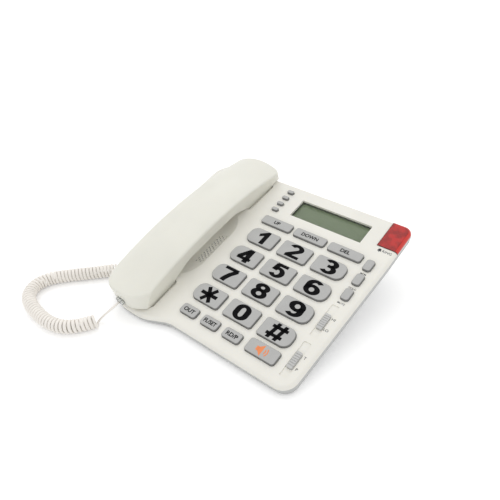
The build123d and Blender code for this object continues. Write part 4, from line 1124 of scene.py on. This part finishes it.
# Pen paths of the digits, which are 1 high and about 0.65 wide before they are broadened.
DIGIT_PATHS: dict[str, list[Outline]] = {
    "0": [
        arc(0, 0.13, 0.205, 0.275, -5, 185), arc(0, -0.13, 0.205, 0.275, 175, 365),
        [(-0.205, 0.14), (-0.205, -0.14)], [(0.205, 0.14), (0.205, -0.14)],
    ],
    "2": [arc(0, 0.2, 0.21, 0.21, 165, -35) + [(-0.20, -0.36)], [(-0.30, -0.405), (0.31, -0.405)]],
    "3": [
        arc(-0.01, 0.21, 0.20, 0.20, 150, -80), arc(0, -0.19, 0.215, 0.22, 80, -150),
        [(-0.09, 0.02), (0.06, 0.02)],
    ],
    "4": [[(0.12, 0.5), (0.12, -0.5)], [(-0.31, -0.24), (0.31, -0.24)], [(0.09, 0.43), (-0.24, -0.22)]],
    "5": [
        [(-0.20, 0.405), (0.29, 0.405)], [(-0.12, 0.42), (-0.18, -0.03)],
        arc(0, -0.13, 0.21, 0.28, 150, -152),
    ],
    "6": [*ring(0, -0.17, 0.215, 0.24), arc(0.02, 0.13, 0.235, 0.28, 42, 180) + [(-0.215, -0.17)]],
    "7": [
        [(-0.31, 0.405), (0.31, 0.405)],
        [(0.25, 0.38), (0.16, 0.2), (0.07, 0.03), (-0.01, -0.2), (-0.05, -0.36), (-0.07, -0.5)],
    ],
    "8": [*ring(0, 0.225, 0.195, 0.185), *ring(0, -0.185, 0.22, 0.225)],
}
DIGIT_PATHS["9"] = [[(-x, -y) for x, y in path] for path in DIGIT_PATHS["6"]]
DIGIT_PEN = (0.22, 0.195)
DIGIT_BREADTH = 1.50
ONE_OUTLINE = (
    (0.01, -0.5), (0.21, -0.5), (0.21, 0.5), (0.08, 0.5), (-0.22, 0.17), (-0.17, -0.03), (0.01, 0.13),
)


def digit_outlines(digit: str, height: float) -> list[Outline]:
    """Outlines of a bold, broad digit about its own middle.

    Args:
        digit: The digit.
        height: Its height.

    Returns:
        The outlines.
    """
    outlines = [ONE_OUTLINE]
    if digit != "1":
        outlines = [stroke(path, DIGIT_PEN) for path in DIGIT_PATHS[digit]]
    return [[(x * height * DIGIT_BREADTH, y * height) for x, y in outline] for outline in outlines]


# Sub-assemblies
class Symbol(Enum):
    """Signs on keys that are drawn instead of written."""

    STAR = "star"
    HASH = "hash"
    SPEAKER = "speaker"


def star_outlines(size: float) -> list[Outline]:
    """Six blunt arms, as a level bar and two slanted ones.

    Args:
        size: The sign's height.

    Returns:
        Its outlines.
    """
    width = size * 0.22
    slanted = [bar(0, 0, width * 1.05, size * 1.10, turn) for turn in (-32, 32)]
    return [bar(0, 0, size * 1.12, width), *slanted]


def hash_outlines(size: float) -> list[Outline]:
    """Two leaning uprights and two level bars.

    Args:
        size: The sign's height.

    Returns:
        Its outlines.
    """
    width = size * 0.185
    lean = size * 0.20
    rise = size * 0.25
    level = [bar(y * lean * rise / size, y * rise, size * 0.95, width) for y in (-1, 1)]
    upright = [bar(x * size * 0.215, 0, width * 1.2, size, 0, lean) for x in (-1, 1)]
    return level + upright


def speaker_outlines(size: float) -> list[Outline]:
    """A loudspeaker with two sound waves.

    Args:
        size: The sign's height.

    Returns:
        Its outlines.
    """
    box = bar(-size * 0.40, 0, size * 0.22, size * 0.34)
    horn = [
        (-size * 0.31, -size * 0.17), (size * 0.02, -size * 0.46),
        (size * 0.02, size * 0.46), (-size * 0.31, size * 0.17),
    ]
    waves = [arc_band(size * reach, size * 0.09, -42, 42) for reach in (0.24, 0.42)]
    return [box, horn, *waves]


def bell_outlines(size: float) -> list[Outline]:
    """A small bell.

    Args:
        size: The sign's height.

    Returns:
        Its outlines.
    """
    dome = arc(0, size * 0.1, size * 0.32, size * 0.32, 0, 180, BAND_STEPS)
    skirt = [
        (-size * 0.42, -size * 0.3), (size * 0.42, -size * 0.3),
        (size * 0.32, size * 0.12), (-size * 0.32, size * 0.12),
    ]
    return [dome, skirt, bar(0, -size * 0.42, size * 0.2, size * 0.12)]


SIGNS: dict[Symbol, Callable[[float], list[Outline]]] = {
    Symbol.STAR: star_outlines,
    Symbol.HASH: hash_outlines,
    Symbol.SPEAKER: speaker_outlines,
}


@dataclass
class Legend:
    """What is printed on one key.

    Attributes:
        node: The key's node.
        sign: A digit, a word or a symbol.
        height: Height of the print, in metres.
        width_factor: How much wider than usual its letters are.
    """

    node: str
    sign: str | Symbol
    height: float
    width_factor: float = 1.0


@dataclass
class Keypad:
    """The number keys and function keys with their print.

    Sizes are in metres.

    Attributes:
        panel: The panel that the keys stand in.
        digit_height: Height of a digit.
        star_height: Size of the star.
        hash_height: Height of the hash.
        speaker_height: Size of the loudspeaker sign.
        digit_lift: How far above its key's middle a digit is printed.
        word_height: Height of a word's letters.
        word_weight: How bold the words are.
        word_width: How wide a word's letters are.
        long_word: How many letters a word may have before it is set narrower.
        long_word_width: How wide the letters of a longer word are.
        thickness: How thick the ink lies.
    """

    panel: Panel
    digit_height: float = 16.6 * MM
    star_height: float = 16.4 * MM
    hash_height: float = 16.6 * MM
    speaker_height: float = 12.0 * MM
    digit_lift: float = 0.4 * MM
    word_height: float = 4.1 * MM
    word_weight: float = 0.03
    word_width: float = 1.05
    long_word: int = 4
    long_word_width: float = 0.92
    thickness: float = 0.05 * MM

    def legends(self) -> list[Legend]:
        """Lists what each key carries.

        Returns:
            The legends.
        """
        listed = [Legend(f"key_{digit}", str(digit), self.digit_height) for digit in range(10)]
        listed.append(Legend("key_star", Symbol.STAR, self.star_height))
        listed.append(Legend("key_hash", Symbol.HASH, self.hash_height))
        words = {
            "key_up": "UP", "key_down": "DOWN", "key_delete": "DEL",
            "key_out": "OUT", "key_flash": "FL/SET", "key_redial": "RD/P",
        }
        for node, word in words.items():
            width = self.long_word_width if len(word) > self.long_word else self.word_width
            listed.append(Legend(node, word, self.word_height, width))
        listed.append(Legend("key_speaker", Symbol.SPEAKER, self.speaker_height))
        return listed

    def print_legend(self, legend: Legend, ink: Material) -> None:
        """Prints one key.

        Args:
            legend: What the key carries.
            ink: The ink's finish.
        """
        span = self.panel.span(legend.node)
        place = self.panel.matrix(span.middle.x, span.middle.y, span.high.z)
        if isinstance(legend.sign, Symbol):
            mesh = drawn(SIGNS[legend.sign](legend.height), self.thickness, place)
        elif legend.sign.isdigit():
            lifted = self.panel.matrix(span.middle.x, span.middle.y + self.digit_lift, span.high.z)
            mesh = drawn(digit_outlines(legend.sign, legend.height), self.thickness, lifted)
        else:
            mesh = lettering(
                legend.sign, legend.height, legend.width_factor, self.word_weight, self.thickness
            )
            mesh.transform(place)
        add_piece(f"print_{legend.node}", mesh, ink, f"{legend.node}_cap")

    def build(self, keys: Material, black: Material, orange: Material) -> None:
        """Dresses every key and prints each key that carries a legend.

        Args:
            keys: The keys' plastic.
            black: Ink of the digits and words.
            orange: Ink of the loudspeaker sign.
        """
        for name, node in self.panel.nodes.items():
            if name.startswith("key_"):
                dress(node, keys)
        for legend in self.legends():
            self.print_legend(legend, orange if legend.sign is Symbol.SPEAKER else black)


@dataclass
class PanelPrint:
    """Small words and marks printed on the panel beside keys and slides.

    Sizes are in metres.

    Attributes:
        panel: The panel that they are printed on.
        thickness: How thick the ink lies.
        width_factor: How much wider than usual the letters are.
        weight: How bold they are.
        key_word_height: Height of the words at the side keys.
        below_key: How far below its key such a word stands.
        mark_height: Height of the marks at the slides.
        beside_slide: How far right of its slide a mark stands.
        mark_offset: How far above or below the slide's middle it stands.
        below_lamp: How far below the lamp the bell and its word stand.
        bell_height: Size of the bell.
        bell_from_side: Its distance from the lamp's left limit.
        lamp_word_height: Height of the word beside the bell.
        lamp_word_from_side: Its distance from the lamp's left limit.
    """

    panel: Panel
    thickness: float = 0.04 * MM
    width_factor: float = 1.05
    weight: float = 0.006
    key_word_height: float = 1.9 * MM
    below_key: float = 2.4 * MM
    mark_height: float = 2.5 * MM
    beside_slide: float = 3.3 * MM
    mark_offset: float = 6.0 * MM
    below_lamp: float = 4.2 * MM
    bell_height: float = 4.6 * MM
    bell_from_side: float = 5.0 * MM
    lamp_word_height: float = 2.8 * MM
    lamp_word_from_side: float = 12.5 * MM

    def word(self, text: str, x: float, v: float, height: float, ink: Material) -> None:
        """Prints a word on the panel.

        Args:
            text: The word.
            x: Middle of the word, across the panel.
            v: Middle of the word, up the panel.
            height: Height of its letters.
            ink: The ink's finish.
        """
        mesh = lettering(text, height, self.width_factor, self.weight, self.thickness)
        mesh.transform(self.panel.matrix(x, v, 0.0))
        add_piece(f"print_{text.lower()}", mesh, ink, "base")

    def build(self, ink: Material) -> None:
        """Prints every word and mark.

        Args:
            ink: The ink's finish.
        """
        words = {"key_side_upper": "MEM", "key_side_middle": "HOLD", "key_side_lower": "MUTE"}
        for node, text in words.items():
            span = self.panel.span(node)
            self.word(text, span.middle.x, span.low.y - self.below_key, self.key_word_height, ink)
        marks = {"slide_ringer": ("HI", "LO"), "slide_dialling": ("T", "P")}
        for node, texts in marks.items():
            span = self.panel.span(node)
            x = span.high.x + self.beside_slide
            for text, offset in zip(texts, (self.mark_offset, -self.mark_offset)):
                self.word(text, x, span.middle.y + offset, self.mark_height, ink)
        lamp = self.panel.span("lamp_lens")
        v = lamp.low.y - self.below_lamp
        place = self.panel.matrix(lamp.low.x + self.bell_from_side, v, 0.0)
        bell = drawn(bell_outlines(self.bell_height), self.thickness, place)
        add_piece("print_bell", bell, ink, "base")
        self.word("RING", lamp.low.x + self.lamp_word_from_side, v, self.lamp_word_height, ink)


@dataclass
class CurlyCord:
    """The coiled handset cord, from the base's socket round to the handset.

    Sizes are in millimetres, apart from the wire's length.

    Attributes:
        route: Places that guide the coil's middle line, seen from above.
        height: Height of the middle line.
        outer: Width of the coil.
        wire: Thickness of the wire across the coil.
        pitch: Advance of one turn.
        flat_wire: Greatest width of the wire along the coil.
        closeness: How much of the distance between two turns the wire fills.
        steps_per_turn: Sections of the tube in one turn.
        sides: Corners of a section.
        route_steps: Steps of the route's smooth curve from one guide to the next.
        window: How many of those steps on either side give the route's direction.
        lead_pull: How far a lead follows its end directions, as a share of its span.
        head_steps: Steps of the lead at the base.
        tail_steps: Steps of the lead at the handset.
        length: Length of the wire, in metres; not used.
    """

    route: tuple[tuple[float, float], ...] = (
        (-117.0, -71.0), (-122.5, -77.0), (-131.0, -87.5), (-142.0, -99.5),
        (-152.0, -110.5), (-160.5, -122.5), (-161.5, -137.0), (-152.5, -149.0),
        (-138.0, -154.5), (-121.5, -157.0), (-104.5, -157.5), (-90.0, -153.0),
        (-79.5, -143.0), (-72.5, -130.0),
    )
    height: float = 6.8
    outer: float = 13.0
    wire: float = 2.0
    pitch: float = 3.45
    flat_wire: float = 3.2
    closeness: float = 0.93
    steps_per_turn: int = 22
    sides: int = 10
    route_steps: int = 40
    window: int = 3
    lead_pull: float = 1.1
    head_steps: int = 12
    tail_steps: int = 20
    length: float = 1.936

    def middle_line(self) -> list[Vector]:
        """The coil's middle line, read from the route's own smooth curve.

        Returns:
            Its places, in metres.
        """
        curve = bpy.data.curves.new("cord_route", "CURVE")
        curve.dimensions = "3D"
        curve.resolution_u = self.route_steps
        spline = curve.splines.new("NURBS")
        spline.points.add(len(self.route) - 1)
        for point, (x, y) in zip(spline.points, self.route):
            point.co = (x * MM, y * MM, self.height * MM, 1.0)
        spline.order_u = 3
        spline.use_endpoint_u = True
        mesh = meshed(curve)
        line = [vertex.co.copy() for vertex in mesh.vertices]
        bpy.data.meshes.remove(mesh)
        return line

    def coil(self) -> tuple[list[Vector], list[Vector], list[float]]:
        """The wire's places along the coil.

        Returns:
            The places, the direction out of the coil at each, and the wire's width there.
        """
        line = self.middle_line()
        reach = [0.0]
        for here, after in zip(line, line[1:]):
            reach.append(reach[-1] + (after - here).length)
        half_turns = round(reach[-1] / (self.pitch * MM) * 2)
        steps = half_turns * self.steps_per_turn // 2
        radius = (self.outer - self.wire) / 2 * MM
        window = self.window
        places, outward, widths = [], [], []
        index = 0
        for step in range(steps + 1):
            target = reach[-1] * step / steps
            while index < len(line) - 2 and reach[index + 1] < target:
                index += 1
            share = (target - reach[index]) / (reach[index + 1] - reach[index])
            middle = line[index].lerp(line[index + 1], share)
            before, beyond = line[max(index - window, 0)], line[min(index + window + 1, len(line) - 1)]
            forward = (beyond - before).normalized()
            left = Vector((-forward.y, forward.x, 0.0))
            first_way = (line[index] - before).normalized() if index > window else forward
            last_way = (beyond - line[index + 1]).normalized() if index < len(line) - window - 2 else forward
            bend = first_way.cross(last_way).z * 2 / (beyond - before).length
            turn = math.pi * (0.5 + half_turns * step / steps)
            out = left * math.cos(turn) + Vector((0.0, 0.0, math.sin(turn)))
            spacing = self.pitch * MM * (1 - bend * radius * math.cos(turn))
            places.append(middle + out * radius)
            outward.append(out)
            widths.append(max(self.wire * MM, min(self.flat_wire * MM, spacing * self.closeness)))
        return places, outward, widths

    def lead(self, start: Vector, way: Vector, end: Vector, end_way: Vector, steps: int) -> list[Vector]:
        """A smooth lead between two places.

        Args:
            start: First place.
            way: Direction there.
            end: Last place.
            end_way: Direction there.
            steps: Number of steps between them.

        Returns:
            The places after the first and before the last.
        """
        pull = (end - start).length * self.lead_pull
        places = []
        for step in range(1, steps):
            t = step / steps  # a to d are the weights of a cubic curve with set ends and directions
            a = 2 * t**3 - 3 * t**2 + 1
            b = t**3 - 2 * t**2 + t
            c = 3 * t**2 - 2 * t**3
            d = t**3 - t**2
            places.append(start * a + way * (pull * b) + end * c + end_way * (pull * d))
        return places

    def build(
        self, base_exit: Vector, handset_exit: Vector, handset_way: Vector, cover: Material
    ) -> None:
        """Args:
            base_exit: Where the wire leaves the base's plug.
            handset_exit: Where it reaches the handset's plug.
            handset_way: Direction into that plug.
            cover: The cord's finish.
        """
        coil, outward, widths = self.coil()
        straight = self.wire * MM  # each lead starts with as much straight wire as the wire is thick
        base_way = Vector((-1.0, 0.0, 0.0))
        start = base_exit + base_way * straight
        finish = handset_exit - handset_way * straight
        entering = (coil[1] - coil[0]).normalized()
        leaving = (coil[-1] - coil[-2]).normalized()
        head = [base_exit, start] + self.lead(start, base_way, coil[0], entering, self.head_steps)
        tail = self.lead(coil[-1], leaving, finish, handset_way, self.tail_steps) + [finish, handset_exit]
        path = head + coil + tail
        across = [outward[0]] * len(head) + outward + [outward[-1]] * len(tail)
        width = [straight] * len(head) + widths + [straight] * len(tail)
        for index in range(self.steps_per_turn):
            share = index / self.steps_per_turn
            for place in (len(head) + index, len(head) + len(coil) - 1 - index):
                width[place] = straight + (width[place] - straight) * share
        cord = put("handset_cord", self.tube(path, across, width))
        cord.data.materials.append(cover)
        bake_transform(cord)
        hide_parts("curly_cord")
        LOG.info("handset_cord bends between base and handset")

    def tube(self, path: list[Vector], across: list[Vector], width: list[float]) -> Mesh:
        """A tube along the wire, wider along the coil than across it.

        Args:
            path: The wire's places.
            across: Direction out of the coil at each.
            width: The wire's width along the coil at each.

        Returns:
            The mesh.
        """
        mesh = bmesh.new()
        sections = []
        for index, point in enumerate(path):
            before, beyond = path[max(index - 1, 0)], path[min(index + 1, len(path) - 1)]
            way = (beyond - before).normalized()
            out = (across[index] - way * across[index].dot(way)).normalized()
            side = way.cross(out)
            section = []
            for place in range(self.sides):
                turn = 2 * math.pi * place / self.sides
                thick = self.wire * MM / 2 * math.cos(turn)
                wide = width[index] / 2 * math.sin(turn)
                section.append(mesh.verts.new(point + out * thick + side * wide))
            sections.append(section)
        for section, following in zip(sections, sections[1:]):
            for place in range(self.sides):
                after = (place + 1) % self.sides
                face = mesh.faces.new((section[place], section[after], following[after], following[place]))
                face.smooth = True
        mesh.faces.new(list(reversed(sections[0])))
        mesh.faces.new(sections[-1])
        bmesh.ops.recalc_face_normals(mesh, faces=mesh.faces)
        data = bpy.data.meshes.new("handset_cord")
        mesh.to_mesh(data)
        mesh.free()
        return data


@dataclass
class Studio:
    """Pale floor, soft light and the camera.

    Angles are in degrees.

    Attributes:
        place: The camera's place, in metres.
        azimuth: How far it is turned about the upright axis.
        elevation: How far it looks down.
        roll: How far it is tilted about its own axis.
        lens: Focal length, in millimetres.
        shift: How far its view is shifted across and up, as shares of its width.
        sensor: Width of its sensor, in millimetres.
        clip_start: Nearest distance that it sees, in metres.
        floor_size: Width of the floor, in metres.
        sky: Strength of the soft light from all sides.
        sun: Strength of the lamp.
        sun_spread: How wide the lamp looks.
        sun_lean: How far the lamp leans about the y and x axes.
    """

    place: tuple[float, float, float] = (0.2477, -0.2886, 0.3250)
    azimuth: float = 38.85
    elevation: float = 38.08
    roll: float = -1.0
    lens: float = 35.94
    shift: tuple[float, float] = (-0.0215, 0.0250)
    sensor: float = 36.0
    clip_start: float = 0.01
    floor_size: float = 8.0
    sky: float = 0.92
    sun: float = 0.40
    sun_spread: float = 50
    sun_lean: tuple[float, float] = (-25, -20)

    def camera(self) -> None:
        """Sets up the camera."""
        data = bpy.data.cameras.new("camera")
        data.lens = self.lens
        data.sensor_width = self.sensor
        data.shift_x, data.shift_y = self.shift
        data.clip_start = self.clip_start
        camera = put("camera", data)
        turn = Matrix.Rotation(math.radians(self.azimuth), 4, "Z")
        turn = turn @ Matrix.Rotation(math.radians(90 - self.elevation), 4, "X")
        turn = turn @ Matrix.Rotation(math.radians(self.roll), 4, "Z")
        camera.matrix_world = Matrix.Translation(self.place) @ turn
        bpy.context.scene.camera = camera

    def floor(self) -> None:
        """Lays the pale floor."""
        half = self.floor_size / 2
        mesh = bpy.data.meshes.new("floor")
        corners = [(-half, -half, 0), (half, -half, 0), (half, half, 0), (-half, half, 0)]
        mesh.from_pydata(corners, [], [(0, 1, 2, 3)])
        mesh.materials.append(FloorWhite().material("floor_white"))
        put("floor", mesh)

    def light(self) -> None:
        """Lights the telephone softly, from above and a little from the left."""
        world = bpy.data.worlds.new("studio")
        world.use_nodes = True
        tree = Tree(world.node_tree)
        soft = tree.node("ShaderNodeBackground", {}, {"Color": WHITE, "Strength": self.sky})
        white = tree.node("ShaderNodeBackground", {}, {"Color": WHITE})
        shares = {"Fac": tree.seen(), "Shader": soft.outputs[0], "Shader_001": white.outputs[0]}
        seen = tree.node("ShaderNodeMixShader", {}, shares)
        tree.node("ShaderNodeOutputWorld", {}, {"Surface": seen.outputs[0]})
        bpy.context.scene.world = world
        lamp = bpy.data.lights.new("key_light", "SUN")
        lamp.energy = self.sun
        lamp.angle = math.radians(self.sun_spread)
        about_y, about_x = (math.radians(angle) for angle in self.sun_lean)
        turn = Matrix.Rotation(about_y, 4, "Y") @ Matrix.Rotation(about_x, 4, "X")
        put("key_light", lamp).matrix_world = turn

    def build(self) -> None:
        """Builds the whole studio."""
        self.camera()
        self.floor()
        self.light()
        bpy.context.scene.view_settings.view_transform = "Standard"


class Look(Enum):
    """The telephone's finishes, with the names of their materials."""

    SHELL = "ivory_shell"
    LOWER_SHELL = "grey_lower_shell"
    HANDSET = "ivory_handset"
    KEYS = "grey_keys"
    KNOBS = "grey_knobs"
    BLACK_INK = "black_ink"
    GREY_INK = "grey_ink"
    ORANGE_INK = "orange_ink"
    LAMP = "red_lamp"
    DISPLAY = "display_layer"
    WINDOW = "display_window"
    PLUG = "clear_plug"
    SILICONE = "silicone_sheet"
    RUBBER = "black_rubber"
    CORD = "cord_cover"
    STEEL = "plated_steel"
    BOARD = "board_lacquer"
    BLACK = "black_plastic"
    CELL = "cell_wrap"


@dataclass
class Finishes:
    """Every finish of the telephone, and which nodes wear it.

    Attributes:
        panel: The panel, whose slope and limits the finishes follow.
        skirt_drop: How far below the panel the grey of its flanks begins, in metres; that grey stands partly
            for the lower shell and partly for painted shade.
        display_frame: Width of the painted shadow of the recess at the display's left and rear, in metres.
        made: The materials that have been made.
    """

    panel: Panel
    skirt_drop: float = 3.2 * MM
    display_frame: tuple[float, float] = (3.7 * MM, 2.9 * MM)
    made: dict[Look, Material] = field(default_factory=dict)

    def build(self) -> None:
        """Makes every finish."""
        out = tuple(self.panel.out)
        across = tuple(self.panel.across)
        along = tuple(self.panel.along)
        display = self.panel.span("display_module")
        lamp = self.panel.span("lamp_lens")
        grey = srgb(186, 187, 185)
        skirt_height = self.panel.level - self.skirt_drop
        # Where the painted shadow of the display's recess ends at its left and rear.
        frame = (display.low.x + self.display_frame[0], display.high.y - self.display_frame[1])
        finishes = {
            # The shell's low flanks take the lower shell's grey, partly as painted shade under the rim.
            Look.SHELL: MouldedPlastic(
                srgb(236, 234, 226), 0.32, scatter=0.08, skirt=grey, skirt_out=out, skirt_height=skirt_height,
            ),
            Look.LOWER_SHELL: MouldedPlastic(grey, 0.36),
            Look.HANDSET: MouldedPlastic(srgb(231, 230, 220), 0.24, depth=0.006 * MM, scatter=0.08),
            # The keys' darker second grey is painted shade on their sides.
            Look.KEYS: KeyPlastic(srgb(176, 176, 174), srgb(122, 122, 121), out),
            Look.KNOBS: MouldedPlastic(srgb(194, 194, 192), 0.34),
            Look.BLACK_INK: PrintedInk(srgb(12, 12, 14)),
            Look.GREY_INK: PrintedInk(srgb(74, 76, 80)),
            Look.ORANGE_INK: PrintedInk(srgb(238, 146, 98)),
            # The lamp's second red is a painted highlight on its sides; along its left side and front lies
            # painted shadow of the gap, and its low flanks take the grey, partly as painted shade.
            Look.LAMP: LampPlastic(
                srgb(172, 30, 27), srgb(206, 58, 50), across, along, out,
                (lamp.low.x, lamp.low.y), grey, skirt_height,
            ),
            Look.DISPLAY: DisplayLayer(
                srgb(94, 113, 74), srgb(80, 98, 64), across, along, display.high.y, display.low.y, frame,
            ),
            # The window's pale colour, laid over the display at a small cover, is a painted glare.
            Look.WINDOW: ClearPlastic(srgb(196, 204, 188), clearness=0.0, cover=0.07),
            Look.PLUG: ClearPlastic(srgb(236, 238, 236), 0.12),
            Look.SILICONE: Rubber(srgb(205, 206, 204), 0.49),
            Look.RUBBER: Rubber(srgb(38, 38, 40), 0.74),
            Look.CORD: Rubber(srgb(246, 241, 234), 0.34),
            Look.STEEL: Metal((0.62, 0.62, 0.61)),
            Look.BOARD: BoardLacquer(srgb(26, 92, 50), srgb(48, 128, 74)),
            Look.BLACK: MouldedPlastic(srgb(30, 30, 32), 0.30),
            Look.CELL: MouldedPlastic(srgb(58, 84, 122), 0.20),
        }
        for look, finish in finishes.items():
            self.made[look] = finish.material(look.value)

    def dress_all(self) -> None:
        """Puts the finishes on the frame's nodes."""
        worn = {
            Look.SHELL: ("top_shell",),
            Look.LOWER_SHELL: ("bottom_shell", "battery_door", "cord_jack_base"),
            Look.HANDSET: ("handset_back_shell", "handset_face_shell", "handset_jack"),
            Look.KNOBS: ("slide_ringer", "slide_dialling", "hook_plunger"),
            Look.LAMP: ("lamp_lens",),
            Look.DISPLAY: ("display_module",),
            Look.WINDOW: ("display_window",),
            Look.PLUG: ("cord_plug_base", "cord_plug_handset"),
            Look.SILICONE: ("keypad_membrane",),
            Look.RUBBER: ("rubber_feet",),
            Look.STEEL: (
                "board_screws", "case_screws", "handset_screws", "handset_weight", "ballast_plate",
                "battery_contacts", "earpiece_capsule", "microphone_capsule",
            ),
            Look.BOARD: ("main_board", "lamp_board"),
            Look.BLACK: ("line_jack", "hook_switch", "loudspeaker"),
            Look.CELL: ("batteries",),
            Look.CORD: ("curly_cord",),
        }
        for look, nodes in worn.items():
            for name in nodes:
                dress(self.panel.nodes[name], self.made[look])
                LOG.info("%s wears %s", name, look.value)


def cord_ends(panel: Panel) -> tuple[Vector, Vector, Vector]:
    """Where the curly cord meets its two plugs.

    Args:
        panel: The panel, which knows the frame's nodes.

    Returns:
        The base plug's outer face, the handset plug's outer face, and the direction into the latter.
    """
    low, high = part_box("cord_plug_base")
    base_exit = Vector((low.x + PLUG_LIP, (low.y + high.y) / 2, (low.z + high.z) / 2))
    plug = panel.span("cord_plug_handset")
    place = panel.matrix(plug.middle.x, plug.low.y + PLUG_LIP, plug.middle.z)
    return base_exit, place.translation, panel.along.copy()


def main() -> None:
    """Builds the telephone's looks round its frame."""
    logging.basicConfig(level=logging.INFO, format="%(message)s")
    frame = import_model()
    panel = Panel(frame)
    Studio().build()
    finishes = Finishes(panel)
    finishes.build()
    finishes.dress_all()
    base_exit, handset_exit, handset_way = cord_ends(panel)
    CurlyCord().build(base_exit, handset_exit, handset_way, finishes.made[Look.CORD])
    inks = (finishes.made[Look.BLACK_INK], finishes.made[Look.ORANGE_INK])
    Keypad(panel).build(finishes.made[Look.KEYS], *inks)
    PanelPrint(panel).build(finishes.made[Look.GREY_INK])


if __name__ == "__main__":
    main()
